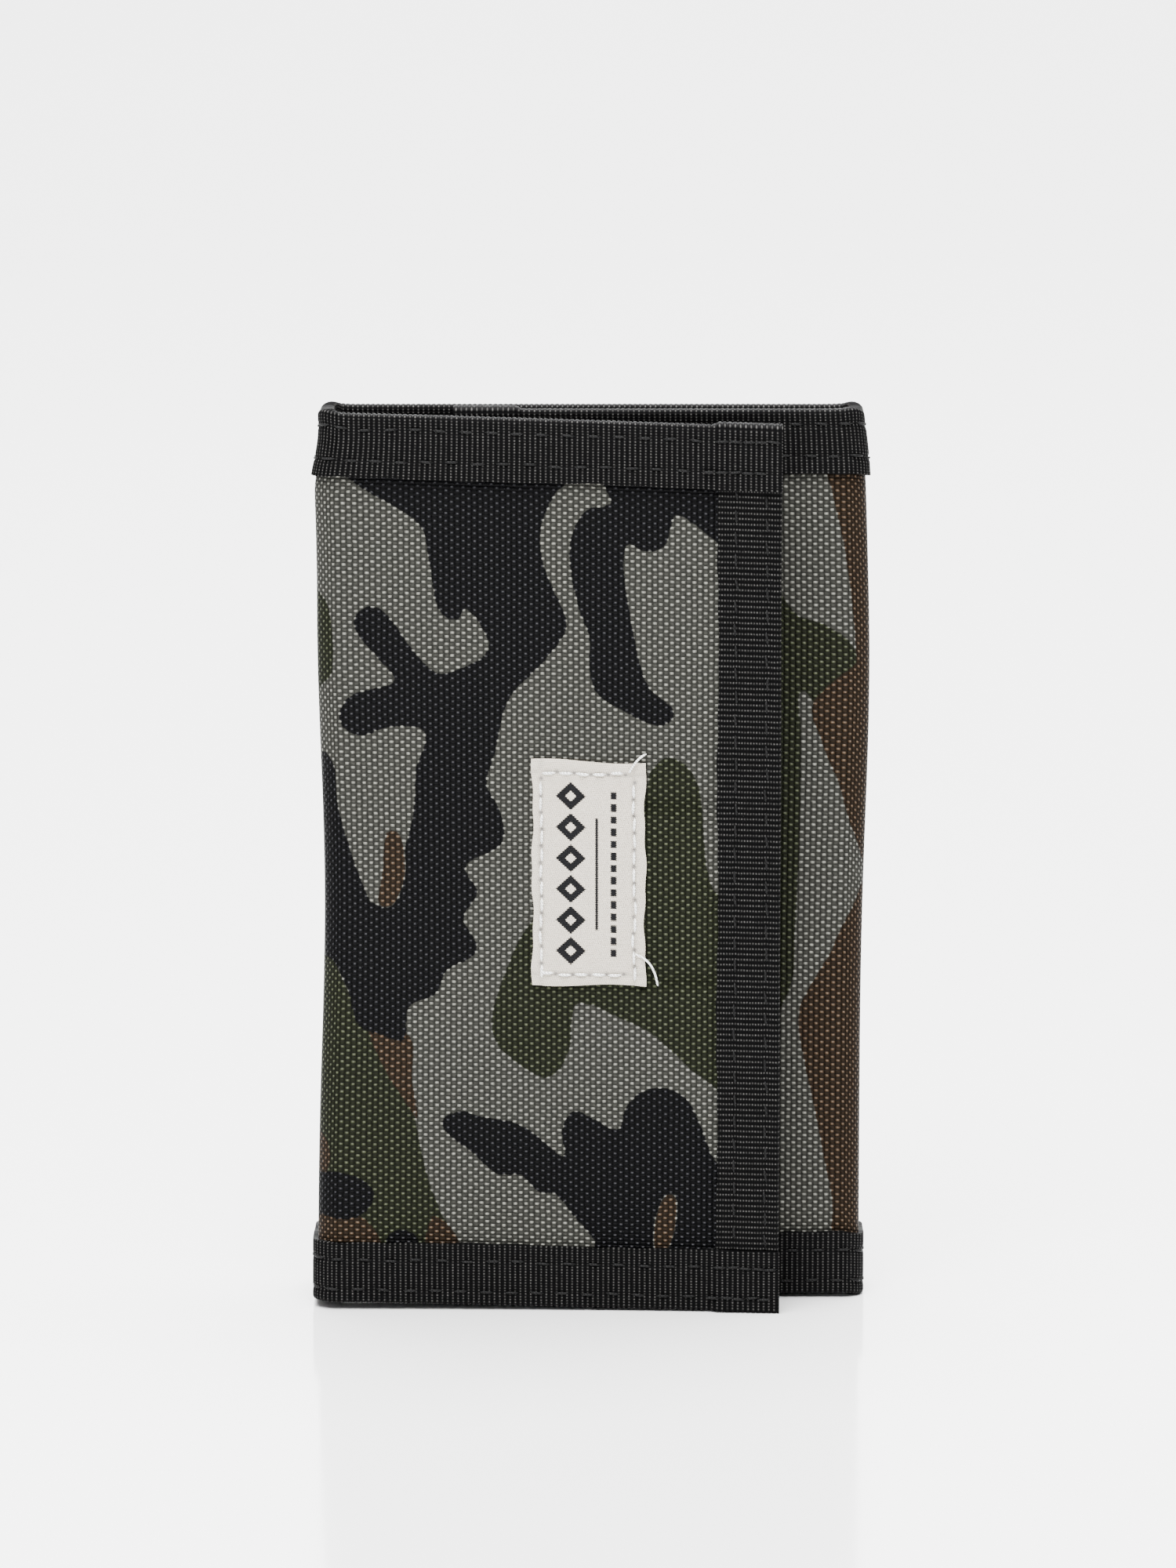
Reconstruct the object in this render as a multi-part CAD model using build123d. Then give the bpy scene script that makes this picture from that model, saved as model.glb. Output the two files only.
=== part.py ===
from build123d import *
import os

# Trifold wallet, folded shut and standing on its bottom edge.
# X runs across the wallet, Y from front to back, Z up. The origin is at the bottom centre.
# "depth" below is a distance from the outer face of the back panel towards the front.

# ---- driving dimensions, mm ------------------------------------------------------------
WIDTH = 76.0            # across the closed wallet
HEIGHT = 125.0          # bottom edge to the top of the inner flap
PANEL_HEIGHT = 124.4    # height of each panel
INNER_LIFT = 0.6        # the inner flap sits this much higher than the others
CLOSED_DEPTH = 18.9     # back of the back panel to the front of the front flap
INNER_DEPTH = 11.8      # back of the back panel to the outer face of the inner flap
FRONT_LENGTH = 64.0     # front flap, left fold to free edge
INNER_LENGTH = 57.0     # inner flap, right fold to free edge

TAPE = 0.6              # grosgrain binding thickness
TAPE_HEIGHT = 8.7       # how far a binding reaches over the cloth
SHELL = 0.8             # coated outer cloth
LINING = 0.4            # thin inner cloth
BILL_GAP = 1.3          # bill compartment, between shell and lining

HINGE_INSET = 0.7       # fold axis, in from the two outer faces that meet there
FOLD_GAP = 1.45         # cloth left out on each side of a fold axis
INNER_INSET = 3.6       # lining and pockets start this far in from a fold

POCKET_CLOTH = 0.35
POCKET_STEP = 1.1       # depth from one card pocket to the next
POCKET_FIRST = 3.85     # depth of the rearmost card pocket's back face
POCKET_TOPS = {"rear": 101.0, "middle": 89.0, "front": 77.0}
POCKET_TAPE = 0.25
POCKET_TAPE_HEIGHT = 6.0
LINING_DROP = 6.0       # lining stops this far below the top edge
SPINE_EASE = 0.1        # slack of the lining behind a folded side

WINDOW = 0.3            # clear sheet over the card window
WINDOW_GAP = 0.5        # card space behind it
FRAME = 0.4             # cloth frame round the window
FRAME_BORDER = 5.0
FRAME_LOW, FRAME_HIGH = 9.4, 101.0
WINDOW_LAP = 2.0        # clear sheet reaches this far under the frame

COIN_LEFT, COIN_RIGHT = 8.0, 43.0
COIN_LOW, COIN_HIGH = 9.4, 115.0
COIN_CLOTH = 0.35
COIN_DEPTH = 4.45       # front face of the front flap to the coin panel

ZIP_X = 13.0            # zip centre line, in from the left outer face
ZIP_LOW, ZIP_HIGH = 22.0, 110.0
TOOTH_ROW = 1.0         # width of one row
TOOTH_GAP = 0.6         # between the two rows
TOOTH_THICK = 0.8
TOOTH_DEPTH = 3.9       # front face of the front flap to the rows
TOOTH_PITCH = 2.0
TOOTH_HEIGHT = 0.9
CORE_WIDTH = 0.55       # solid strip that carries the teeth of one row
CORE_INSET = 0.15       # and how far its faces lie inside the teeth
STOP_HEIGHT = 1.6
ZIP_TAPE_WIDTH = 2.8
ZIP_TAPE = 0.3
TAPE_BELOW, TAPE_ABOVE = 6.0, 3.0   # tape past the ends of the rows
PANEL_LAP = 1.7         # coin panels cover this much of the zip tapes
SLIDER_WIDTH = 4.2
SLIDER_LENGTH = 8.0
SLIDER_LOW = 24.0
SLIDER_CLEAR = 0.2
SLIDER_OVER, SLIDER_UNDER = 0.5, 0.4
SLIDER_POST = 0.3
SLIDER_CORNER = 1.0
POST_LENGTH = 3.0
LUG_HALF_GAP, LUG_WIDTH, LUG_HEIGHT, LUG_PAST_PIN = 0.75, 0.45, 1.6, 0.6
PIN_UP, PIN_OUT = 1.6, 1.0          # pin above the slider's end, and in front of its plate
PIN_LENGTH = 1.8
PULL_LENGTH = 11.0
PULL_PIN = 0.3
PULL_HOLE = 0.36
PULL_THICK = 0.7
PULL_EYE = 0.7
NECK_WIDTH, NECK_LENGTH = 1.1, 3.0
TAB_WIDTH, TAB_FROM_PIN, TAB_CORNER = 3.6, 2.4, 1.0

HOOK = 1.7
LOOP = 1.9
PATCH_LOW, PATCH_HIGH = 46.0, 71.0
HOOK_LEFT, HOOK_RIGHT = 44.6, 55.0
LOOP_LEFT, LOOP_RIGHT = 43.0, 62.0

LABEL_WIDTH, LABEL_HEIGHT, LABEL_THICK = 15.5, 31.4, 0.45
LABEL_X, LABEL_Z = 37.6, 61.6

# ---- derived places --------------------------------------------------------------------
CLOTH_END = HINGE_INSET + FOLD_GAP
LINING_DEPTH = TAPE + SHELL + BILL_GAP
LINING_FACE = LINING_DEPTH + LINING
TOP = PANEL_HEIGHT
POCKET_BOTTOM = TAPE


def block(x0, x1, d0, d1, z0, z1):
    """A box between two distances from the left face, two depths and two heights."""
    low_y = CLOSED_DEPTH / 2 - d1
    size = (x1 - x0, d1 - d0, z1 - z0)
    corner = (x0 - WIDTH / 2, low_y, z0)
    return Pos(*corner) * Box(*size, align=(Align.MIN, Align.MIN, Align.MIN))


def save(node, shape):
    """Write one sub-part to its own STEP file."""
    shape.label = node
    export_step(shape, os.path.join("parts", node + ".step"))


def channel_up(x0, x1, d0, d1, z0, z1, wall):
    """Binding folded over a bottom edge: a channel along X that opens upwards."""
    body = block(x0, x1, d0, d1, z0, z1)
    return body - block(x0, x1, d0 + wall, d1 - wall, z0 + wall, z1)


def channel_down(x0, x1, d0, d1, z0, z1, wall):
    """Binding folded over a top edge: a channel along X that opens downwards."""
    body = block(x0, x1, d0, d1, z0, z1)
    return body - block(x0, x1, d0 + wall, d1 - wall, z0, z1 - wall)


def shell_tape(x0, x1, depth, top, outward):
    """Top binding round the edge of the shell alone; outward is -1 at the back, +1 in front."""
    span = 2 * TAPE + SHELL
    d0 = depth if outward < 0 else depth - span
    return channel_down(x0, x1, d0, d0 + span, top - TAPE_HEIGHT, top, TAPE)


# ---- back panel: the root --------------------------------------------------------------
def back_panel():
    x0, x1 = CLOTH_END, WIDTH - CLOTH_END
    in0, in1 = INNER_INSET, WIDTH - INNER_INSET
    stack = POCKET_FIRST + 2 * POCKET_STEP + POCKET_CLOTH
    save("back_shell", block(x0, x1, TAPE, TAPE + SHELL, TAPE, TOP - TAPE))
    save("back_top_binding", shell_tape(x0, x1, 0, TOP, -1))
    tape = block(x0, x1, 0, TAPE, 0, TAPE_HEIGHT)
    tape += block(x0, x1, 0, LINING_DEPTH, 0, TAPE)
    tape += block(in0, in1, 0, stack + TAPE, 0, TAPE)
    tape += block(in0, in1, stack, stack + TAPE, 0, TAPE_HEIGHT)
    save("back_bottom_binding", tape)
    lining_top = TOP - LINING_DROP
    save("back_lining", block(in0, in1, LINING_DEPTH, LINING_FACE, TAPE, lining_top - POCKET_TAPE))
    edge = channel_down(in0, in1, LINING_DEPTH - POCKET_TAPE, LINING_FACE + POCKET_TAPE,
                        lining_top - POCKET_TAPE_HEIGHT, lining_top, POCKET_TAPE)
    save("back_lining_binding", edge)
    for step, name in enumerate(POCKET_TOPS):
        d0 = POCKET_FIRST + step * POCKET_STEP
        d1 = d0 + POCKET_CLOTH
        top = POCKET_TOPS[name]
        save(name + "_card_pocket", block(in0, in1, d0, d1, POCKET_BOTTOM, top - POCKET_TAPE))
        edge = channel_down(in0, in1, d0 - POCKET_TAPE, d1 + POCKET_TAPE,
                            top - POCKET_TAPE_HEIGHT, top, POCKET_TAPE)
        save(name + "_pocket_binding", edge)


# ---- spines: the two folded sides ------------------------------------------------------
def spine(name, mirror, depth, lift):
    """The side between two folds; mirror puts it on the right."""
    def side(x0, x1, d0, d1, z0, z1):
        if mirror:
            x0, x1 = WIDTH - x1, WIDTH - x0
        return block(x0, x1, d0, d1, z0, z1)

    d0, d1 = CLOTH_END, depth - CLOTH_END
    low, high = 0, TOP + lift
    save(name + "_shell", side(TAPE, TAPE + SHELL, d0, d1, low + TAPE, high - TAPE))
    top = side(0, 2 * TAPE + SHELL, d0, d1, high - TAPE_HEIGHT, high)
    top -= side(TAPE, TAPE + SHELL, d0, d1, high - TAPE_HEIGHT, high - TAPE)
    save(name + "_top_binding", top)
    in0, in1 = INNER_INSET, depth - INNER_INSET
    wide = LINING_FACE - SPINE_EASE
    bottom = side(0, TAPE, d0, d1, low, TAPE_HEIGHT) + side(0, wide, in0, in1, low, low + TAPE)
    bottom += side(0, 2 * TAPE + SHELL, d0, d1, low, low + TAPE)
    save(name + "_bottom_binding", bottom)
    lining_high = high - LINING_DROP
    save(name + "_lining", side(wide - LINING, wide, in0, in1, low + TAPE, lining_high))


# ---- front flap ------------------------------------------------------------------------
def front_flap():
    d = CLOSED_DEPTH
    x0, x1 = CLOTH_END, FRONT_LENGTH
    in0 = INNER_INSET
    leg = TAPE_HEIGHT
    save("front_shell", block(x0, x1 - TAPE, d - TAPE - SHELL, d - TAPE, TAPE, TOP - TAPE))
    save("front_top_binding", shell_tape(x0, x1, d, TOP, 1))
    tape = block(x0, x1, d - TAPE, d, 0, leg)
    tape += block(x0, x1, d - LINING_DEPTH, d, 0, TAPE)
    tape += block(in0, x1, d - LINING_FACE - TAPE, d, 0, TAPE)
    tape += block(in0, x1, d - LINING_FACE - TAPE, d - LINING_FACE, 0, leg)
    save("front_bottom_binding", tape)
    end = block(x1 - leg, x1, d - LINING_FACE - TAPE, d, leg, TOP - leg)
    end -= block(x1 - leg, x1 - TAPE, d - LINING_FACE, d - TAPE, leg, TOP - leg)
    save("front_end_binding", end)
    save("front_lining", block(in0, x1 - TAPE, d - LINING_FACE, d - LINING_DEPTH, TAPE, TOP - leg))
    label = block(LABEL_X - LABEL_WIDTH / 2, LABEL_X + LABEL_WIDTH / 2, d - TAPE,
                  d - TAPE + LABEL_THICK, LABEL_Z - LABEL_HEIGHT / 2, LABEL_Z + LABEL_HEIGHT / 2)
    save("woven_label", label)
    save("hook_strip", block(HOOK_LEFT, HOOK_RIGHT, d - LINING_FACE - HOOK, d - LINING_FACE,
                             PATCH_LOW, PATCH_HIGH))


# ---- coin pocket and its zip -----------------------------------------------------------
def coin_pocket():
    d = CLOSED_DEPTH
    half = TOOTH_GAP / 2
    face, back = d - COIN_DEPTH - COIN_CLOTH, d - COIN_DEPTH
    tape_end = half + TOOTH_ROW
    panel_gap = tape_end + ZIP_TAPE_WIDTH - PANEL_LAP
    save("coin_pocket_panel", block(ZIP_X + panel_gap, COIN_RIGHT, face, back, COIN_LOW, COIN_HIGH))
    save("coin_pocket_edge", block(COIN_LEFT, ZIP_X - panel_gap, face, back, COIN_LOW, COIN_HIGH))
    gusset = block(COIN_RIGHT - COIN_CLOTH, COIN_RIGHT, back, d - LINING_FACE, COIN_LOW, COIN_HIGH)
    save("coin_pocket_gusset", gusset)
    tape0 = back
    tooth0 = d - TOOTH_DEPTH - TOOTH_THICK
    for name, sign in (("left", -1), ("right", 1)):
        near, far = ZIP_X + sign * tape_end, ZIP_X + sign * (tape_end + ZIP_TAPE_WIDTH)
        save("zip_tape_" + name, block(min(near, far), max(near, far), tape0, tape0 + ZIP_TAPE,
                                       ZIP_LOW - TAPE_BELOW, ZIP_HIGH + TAPE_ABOVE))
        root, tip = ZIP_X + sign * tape_end, ZIP_X + sign * half
        core = ZIP_X + sign * (tape_end - CORE_WIDTH)
        row = block(min(root, core), max(root, core), tooth0 + CORE_INSET,
                    tooth0 + TOOTH_THICK - CORE_INSET, ZIP_LOW, ZIP_HIGH)
        count = int((ZIP_HIGH - ZIP_LOW) / TOOTH_PITCH)
        offset = TOOTH_PITCH / 2 if sign > 0 else 0
        for i in range(count):
            z = ZIP_LOW + offset + i * TOOTH_PITCH
            row += block(min(root, tip), max(root, tip), tooth0, tooth0 + TOOTH_THICK, z, z + TOOTH_HEIGHT)
        save("zip_teeth_" + name, row)
    stop = block(ZIP_X - tape_end, ZIP_X + tape_end, tooth0, tooth0 + TOOTH_THICK,
                 ZIP_LOW - STOP_HEIGHT, ZIP_LOW)
    save("zip_bottom_stop", stop)


def zip_slider():
    d = CLOSED_DEPTH
    z0, z1 = SLIDER_LOW, SLIDER_LOW + SLIDER_LENGTH
    x0, x1 = ZIP_X - SLIDER_WIDTH / 2, ZIP_X + SLIDER_WIDTH / 2
    under0 = d - TOOTH_DEPTH + SLIDER_CLEAR
    over1 = d - TOOTH_DEPTH - TOOTH_THICK - SLIDER_CLEAR
    over0 = over1 - SLIDER_OVER
    over = block(x0, x1, over0, over1, z0, z1)
    under = block(x0, x1, under0, under0 + SLIDER_UNDER, z0, z1)
    body = fillet(over.edges().filter_by(Axis.Y), SLIDER_CORNER)
    body += fillet(under.edges().filter_by(Axis.Y), SLIDER_CORNER)
    body += block(ZIP_X - SLIDER_POST / 2, ZIP_X + SLIDER_POST / 2, over1, under0,
                  z1 - POST_LENGTH, z1)
    pin_z = z0 + PIN_UP
    pin_depth = over0 - PIN_OUT
    for side in (-1, 1):
        edge = ZIP_X + side * LUG_HALF_GAP
        body += block(min(edge, edge + side * LUG_WIDTH), max(edge, edge + side * LUG_WIDTH),
                      pin_depth - LUG_PAST_PIN, over0, pin_z - LUG_HEIGHT / 2, pin_z + LUG_HEIGHT / 2)
    centre = (ZIP_X - WIDTH / 2, CLOSED_DEPTH / 2 - pin_depth, pin_z)
    pin = Pos(*centre) * Rot(0, 90, 0) * Cylinder(PULL_PIN, PIN_LENGTH)
    save("zip_slider", body + pin)

    eye = Pos(*centre) * Rot(0, 90, 0) * Cylinder(PULL_EYE, NECK_WIDTH)
    neck = block(ZIP_X - NECK_WIDTH / 2, ZIP_X + NECK_WIDTH / 2,
                 pin_depth - PULL_THICK / 2, pin_depth + PULL_THICK / 2, pin_z - NECK_LENGTH, pin_z)
    tab = block(ZIP_X - TAB_WIDTH / 2, ZIP_X + TAB_WIDTH / 2,
                pin_depth - PULL_THICK / 2, pin_depth + PULL_THICK / 2,
                pin_z - PULL_LENGTH, pin_z - TAB_FROM_PIN)
    tab = fillet(tab.edges().filter_by(Axis.Y), TAB_CORNER)
    hole = Pos(*centre) * Rot(0, 90, 0) * Cylinder(PULL_HOLE, 3)
    save("zip_pull", eye + neck + tab - hole)


# ---- inner flap ------------------------------------------------------------------------
def inner_flap():
    d = INNER_DEPTH
    x0, x1 = WIDTH - INNER_LENGTH, WIDTH - CLOTH_END
    in1 = WIDTH - INNER_INSET
    low, high = INNER_LIFT, HEIGHT
    leg = TAPE_HEIGHT
    save("inner_shell", block(x0 + TAPE, x1, d - TAPE - SHELL, d - TAPE, low + TAPE, high - TAPE))
    save("inner_top_binding", shell_tape(x0, x1, d, high, 1))
    tape = block(x0, x1, d - TAPE, d, low, low + leg)
    tape += block(x0, x1, d - LINING_DEPTH, d, low, low + TAPE)
    tape += block(x0, in1, d - LINING_FACE - TAPE, d, low, low + TAPE)
    tape += block(x0, in1, d - LINING_FACE - TAPE, d - LINING_FACE, low, low + leg)
    save("inner_bottom_binding", tape)
    end = block(x0, x0 + leg, d - LINING_FACE - TAPE, d, low + leg, high - leg)
    end -= block(x0 + TAPE, x0 + leg, d - LINING_FACE, d - TAPE, low + leg, high - leg)
    save("inner_end_binding", end)
    save("inner_lining", block(x0 + TAPE, in1, d - LINING_FACE, d - LINING_DEPTH,
                               low + TAPE, high - leg))
    save("loop_strip", block(LOOP_LEFT, LOOP_RIGHT, d - TAPE, d - TAPE + LOOP,
                             PATCH_LOW, PATCH_HIGH))
    sheet1 = d - LINING_FACE - WINDOW_GAP
    frame0, frame1 = x0 + leg + 0.2, in1
    hole0, hole1 = frame0 + FRAME_BORDER, frame1 - FRAME_BORDER
    hole_low, hole_high = FRAME_LOW + FRAME_BORDER, FRAME_HIGH - FRAME_BORDER
    lap = WINDOW_LAP
    save("id_window", block(hole0 - lap, hole1 + lap, sheet1 - WINDOW, sheet1,
                            hole_low - lap, hole_high + lap))
    frame = block(frame0, frame1, sheet1 - WINDOW - FRAME, sheet1 - WINDOW, FRAME_LOW, FRAME_HIGH)
    frame -= block(hole0, hole1, sheet1 - WINDOW - FRAME, sheet1 - WINDOW, hole_low, hole_high)
    save("id_window_frame", frame)


os.makedirs("parts", exist_ok=True)
back_panel()
spine("left_spine", False, CLOSED_DEPTH, 0)
spine("right_spine", True, INNER_DEPTH, 0)
front_flap()
coin_pocket()
zip_slider()
inner_flap()
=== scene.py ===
# %% [markdown]
# # A cloth trifold wallet, closed and standing on its bottom edge
# The wallet is one long strip of printed cloth, folded round four corners. Ribbon is sewn over its
# long edges and over its two ends. Everything is laid out first on the flat strip, in millimetres,
# and then carried round the folds, the way a pattern cutter thinks of it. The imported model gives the
# frame: the bodies, the joints and the box that the cloth has to stay in.

# %% Load the frame
import math

import bpy
import numpy as np
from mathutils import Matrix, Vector


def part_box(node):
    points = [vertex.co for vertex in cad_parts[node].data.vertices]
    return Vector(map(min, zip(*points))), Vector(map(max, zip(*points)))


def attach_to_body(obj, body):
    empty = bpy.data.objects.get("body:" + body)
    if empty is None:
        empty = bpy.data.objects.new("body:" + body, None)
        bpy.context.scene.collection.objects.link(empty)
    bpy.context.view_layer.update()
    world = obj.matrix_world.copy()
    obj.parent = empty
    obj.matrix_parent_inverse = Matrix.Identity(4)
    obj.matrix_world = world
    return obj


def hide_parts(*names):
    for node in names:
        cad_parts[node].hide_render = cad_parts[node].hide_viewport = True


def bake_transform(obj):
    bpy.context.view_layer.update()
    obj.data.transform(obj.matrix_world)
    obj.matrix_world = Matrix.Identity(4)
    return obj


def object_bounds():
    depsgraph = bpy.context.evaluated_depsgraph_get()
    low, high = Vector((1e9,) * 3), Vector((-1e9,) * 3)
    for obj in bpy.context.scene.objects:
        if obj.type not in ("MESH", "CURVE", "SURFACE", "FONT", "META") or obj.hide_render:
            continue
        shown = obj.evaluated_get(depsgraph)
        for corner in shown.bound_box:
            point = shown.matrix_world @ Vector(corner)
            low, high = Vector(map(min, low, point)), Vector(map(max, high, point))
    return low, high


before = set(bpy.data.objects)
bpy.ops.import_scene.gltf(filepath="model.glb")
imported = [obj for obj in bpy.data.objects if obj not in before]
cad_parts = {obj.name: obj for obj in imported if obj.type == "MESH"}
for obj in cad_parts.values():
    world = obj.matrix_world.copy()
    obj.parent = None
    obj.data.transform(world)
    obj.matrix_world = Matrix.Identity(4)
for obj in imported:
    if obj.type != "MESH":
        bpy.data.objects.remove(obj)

cad_low, cad_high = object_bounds()
print("CAD box, mm:", [round(1000 * (h - l), 1) for l, h in zip(cad_low, cad_high)])

# %% [markdown]
# ## The flat strip
# Two coordinates lay out every cloth part: `s` runs along the strip from the free edge of the front
# flap to the free edge of the inner flap, and `z` runs up. A third, `depth`, goes into the wallet from
# the outer face. The lengths come from the boxes of the CAD nodes, so that cloth and frame agree.

# %% Lengths, in millimetres
MM = 0.001


def edges_of(node):
    """Low and high corner of a CAD node, in millimetres."""
    low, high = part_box(node)
    return np.array(low) / MM, np.array(high) / MM


left_x, front_y = np.array(cad_low)[:2] / MM
right_x, back_y = np.array(cad_high)[:2] / MM
top_z = edges_of("front_top_binding")[1][2]
inner_y = edges_of("inner_top_binding")[0][1]
front_free_x = edges_of("front_end_binding")[1][0]
inner_free_x = edges_of("inner_end_binding")[0][0]
RIBBON, CLOTH, LINING = 0.6, 0.8, 0.4
LINING_AT = 2.7
RIBBON_HEIGHT = 8.7
FRONT = front_free_x - left_x
LEFT, BACK, RIGHT = back_y - front_y, right_x - left_x, back_y - inner_y
INNER = right_x - inner_free_x
FOLDS = np.cumsum([FRONT, LEFT, BACK, RIGHT])
STRIP = FOLDS[-1] + INNER
print("strip, mm:", round(STRIP, 1), "folds at", FOLDS.round(1), "height", round(top_z, 1))

# %% [markdown]
# ## Carrying the strip round the folds
# Between folds the strip is flat, and at a fold it is a quarter circle. A layer deeper inside turns on a
# smaller circle, but never on a sharp corner, because cloth can't. The function below works on whole
# arrays: it picks the flat side by counting the folds passed, then overwrites the points near a fold.

# %% From strip to space
FOLD_RADIUS = 3.0
TIGHTEST = 1.0
CORNER_POINTS = np.array([(left_x, front_y), (left_x, back_y), (right_x, back_y), (right_x, inner_y)])
HEADINGS = np.array([(-1, 0), (0, 1), (1, 0), (0, -1), (-1, 0)], float)
OUTWARD = np.array([(0, -1), (-1, 0), (0, 1), (1, 0), (0, -1)], float)


def carry(s, depth, z):
    """Point on the folded strip, and its outward normal.

    On side k the point is corner + heading * (s - s_corner) - outward * depth. Within depth + radius
    of a fold it is centre + radius * (outward_k cos a + outward_k+1 sin a), a from 0 to 90 degrees.
    """
    s, depth, z = np.broadcast_arrays(*(np.asarray(v, float) for v in (s, depth, z)))
    side = np.searchsorted(FOLDS, s, side="right")
    ref = np.minimum(side, 3)
    flat = CORNER_POINTS[ref] + HEADINGS[side] * (s - FOLDS[ref])[..., None]
    xy = flat - OUTWARD[side] * depth[..., None]
    normal = OUTWARD[side].copy()
    radius = np.maximum(FOLD_RADIUS - depth, TIGHTEST)
    reach = depth + radius
    for k, fold in enumerate(FOLDS):
        turn = np.clip((s - fold + reach) / (2 * reach), 0, 1) * math.pi / 2
        n = OUTWARD[k] * np.cos(turn)[..., None] + OUTWARD[k + 1] * np.sin(turn)[..., None]
        centre = CORNER_POINTS[k] - (OUTWARD[k] + OUTWARD[k + 1]) * reach[..., None]
        near = (np.abs(s - fold) < reach)[..., None]
        xy = np.where(near, centre + n * radius[..., None], xy)
        normal = np.where(near, n, normal)
    point = np.concatenate([xy, z[..., None]], axis=-1)
    normal = np.concatenate([normal, np.zeros_like(z)[..., None]], axis=-1)
    return settle(point, s), normal


# %% [markdown]
# ## Used, not new
# A wallet in use isn't a box. Its front flap stands a little proud at the free edge and hangs lower
# there, its long sides are drawn in at half height, and its broad faces swell slightly. All layers go
# through the same gentle shift, so nothing that touches comes apart.

# %% The shift that use gives it
FREE_EDGE_PROUD = 1.9
CORNER_LIFT = 1.0
TOP_DROP = 0.8
SWELL = 0.6
CORNER_EAR = 0.4
INNER_LIFT = edges_of("inner_top_binding")[1][2] - top_z


def bell(v, centre, width):
    """Smooth hump of height 1: exp(-((v - centre) / width)^2)."""
    return np.exp(-(((v - centre) / width) ** 2))


def ramp(v, start, end):
    """0 before start, 1 after end, and 3t^2 - 2t^3 between."""
    t = np.clip((v - start) / (end - start), 0, 1)
    return t * t * (3 - 2 * t)


def settle(point, s):
    """Shift points by smooth sums of ramps and humps along the strip and up the height."""
    x, y, z = point[..., 0], point[..., 1], point[..., 2]
    across = np.clip((FRONT - s) / FRONT, 0, 1)
    up = z / top_z
    on_front = s < FRONT
    lift = CORNER_LIFT * (1 - across) * (1 - ramp(s, FRONT, FRONT + LEFT))
    for fold in FOLDS:
        lift = lift + CORNER_EAR * bell(s, fold, 2.4) * ramp(z, 117, 124)
    lift = lift + INNER_LIFT * ramp(s, FOLDS[3] - 3, FOLDS[3] + 3)
    drop = TOP_DROP * across**1.3 * np.clip(up, 0, 1)
    belly = np.sin(math.pi * np.clip(up, 0, 1)) * SWELL
    dy = -FREE_EDGE_PROUD * across**2.2 - belly * np.sin(math.pi * across) * on_front
    mid_back = ramp(s, FOLDS[1], FOLDS[1] + 25) * (1 - ramp(s, FOLDS[2] - 25, FOLDS[2]))
    dy = dy + belly * mid_back
    near_left, near_right = np.exp(-(x - left_x) / 9), np.exp(-(right_x - x) / 9)
    waist = 1.35 * bell(z, 58, 30) + 0.3 * bell(z, 104, 12) + 1.4 * ramp(z, 113, 122) - 0.75
    hip = 1.1 * bell(z, 88, 27) - 0.9 * bell(z, 127, 7)
    dx = waist * near_left * (s < FOLDS[1] + 30) + hip * near_right * (s > FOLDS[2] - 30)
    return np.stack([x + dx, y + dy, z + lift - drop], axis=-1)


# %% [markdown]
# ## Sheets with two faces
# Every cloth, ribbon and patch here has a thickness. A sheet is two grids of points, its two faces, and
# the four rims that join them: a closed mesh with nothing loose. The winding is checked by the volume:
# if it comes out negative, all faces are turned over.

# %% Mesh builders
def quads_between(a, b):
    """Quads joining two lines of vertex numbers, point by point."""
    return np.stack([a[:-1], a[1:], b[1:], b[:-1]], axis=-1).reshape(-1, 4)


def closed_sheet(outer, inner):
    """Points and quads of a sheet from its two faces, grids of the same (rows, columns, 3)."""
    rows, columns = outer.shape[:2]
    count = rows * columns
    top = np.arange(count).reshape(rows, columns)
    low = top + count
    face = np.stack([top[:-1, :-1], top[1:, :-1], top[1:, 1:], top[:-1, 1:]], -1).reshape(-1, 4)
    rims = [quads_between(a, b) for a, b in
            ((low[0], top[0]), (top[-1], low[-1]), (top[:, 0], low[:, 0]), (low[:, -1], top[:, -1]))]
    quads = np.concatenate([face, (face + count)[:, ::-1], *rims])
    return np.concatenate([outer.reshape(-1, 3), inner.reshape(-1, 3)]), quads


def volume(points, quads):
    """Signed volume: the sum of corner triple products over both triangles of each quad, over 6."""
    a, b, c, d = (points[quads[:, k]] for k in range(4))
    return ((np.cross(a, b) * c).sum() + (np.cross(a, c) * d).sum()) / 6


def build(name, points, quads, material, fields=None, sharp=50):
    """Make the object: points in mm, quads, and named values kept on the vertices."""
    if volume(points, quads) < 0:
        quads = quads[:, ::-1]
    mesh = bpy.data.meshes.new(name)
    mesh.vertices.add(len(points))
    mesh.vertices.foreach_set("co", (points * MM).astype(np.float32).ravel())
    mesh.loops.add(quads.size)
    mesh.loops.foreach_set("vertex_index", quads.astype(np.int32).ravel())
    mesh.polygons.add(len(quads))
    mesh.polygons.foreach_set("loop_start", np.arange(0, quads.size, 4, dtype=np.int32))
    mesh.update(calc_edges=True)
    mesh.validate()
    for field, values in (fields or {}).items():
        vector = values.ndim == 2
        layer = mesh.attributes.new(field, "FLOAT_VECTOR" if vector else "FLOAT", "POINT")
        layer.data.foreach_set("vector" if vector else "value", values.astype(np.float32).ravel())
    mesh.shade_smooth()
    mesh.set_sharp_from_angle(angle=math.radians(sharp))
    mesh.materials.append(material)
    piece = bpy.data.objects.new(name, mesh)
    bpy.context.scene.collection.objects.link(piece)
    return piece


def layout(s, z, across=0.0):
    """The strip coordinates of both faces of a sheet, kept for its material."""
    s, z, across = np.broadcast_arrays(s, z, across)
    one = np.stack([s, z, across], axis=-1).reshape(-1, 3)
    return np.concatenate([one, one])


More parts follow.
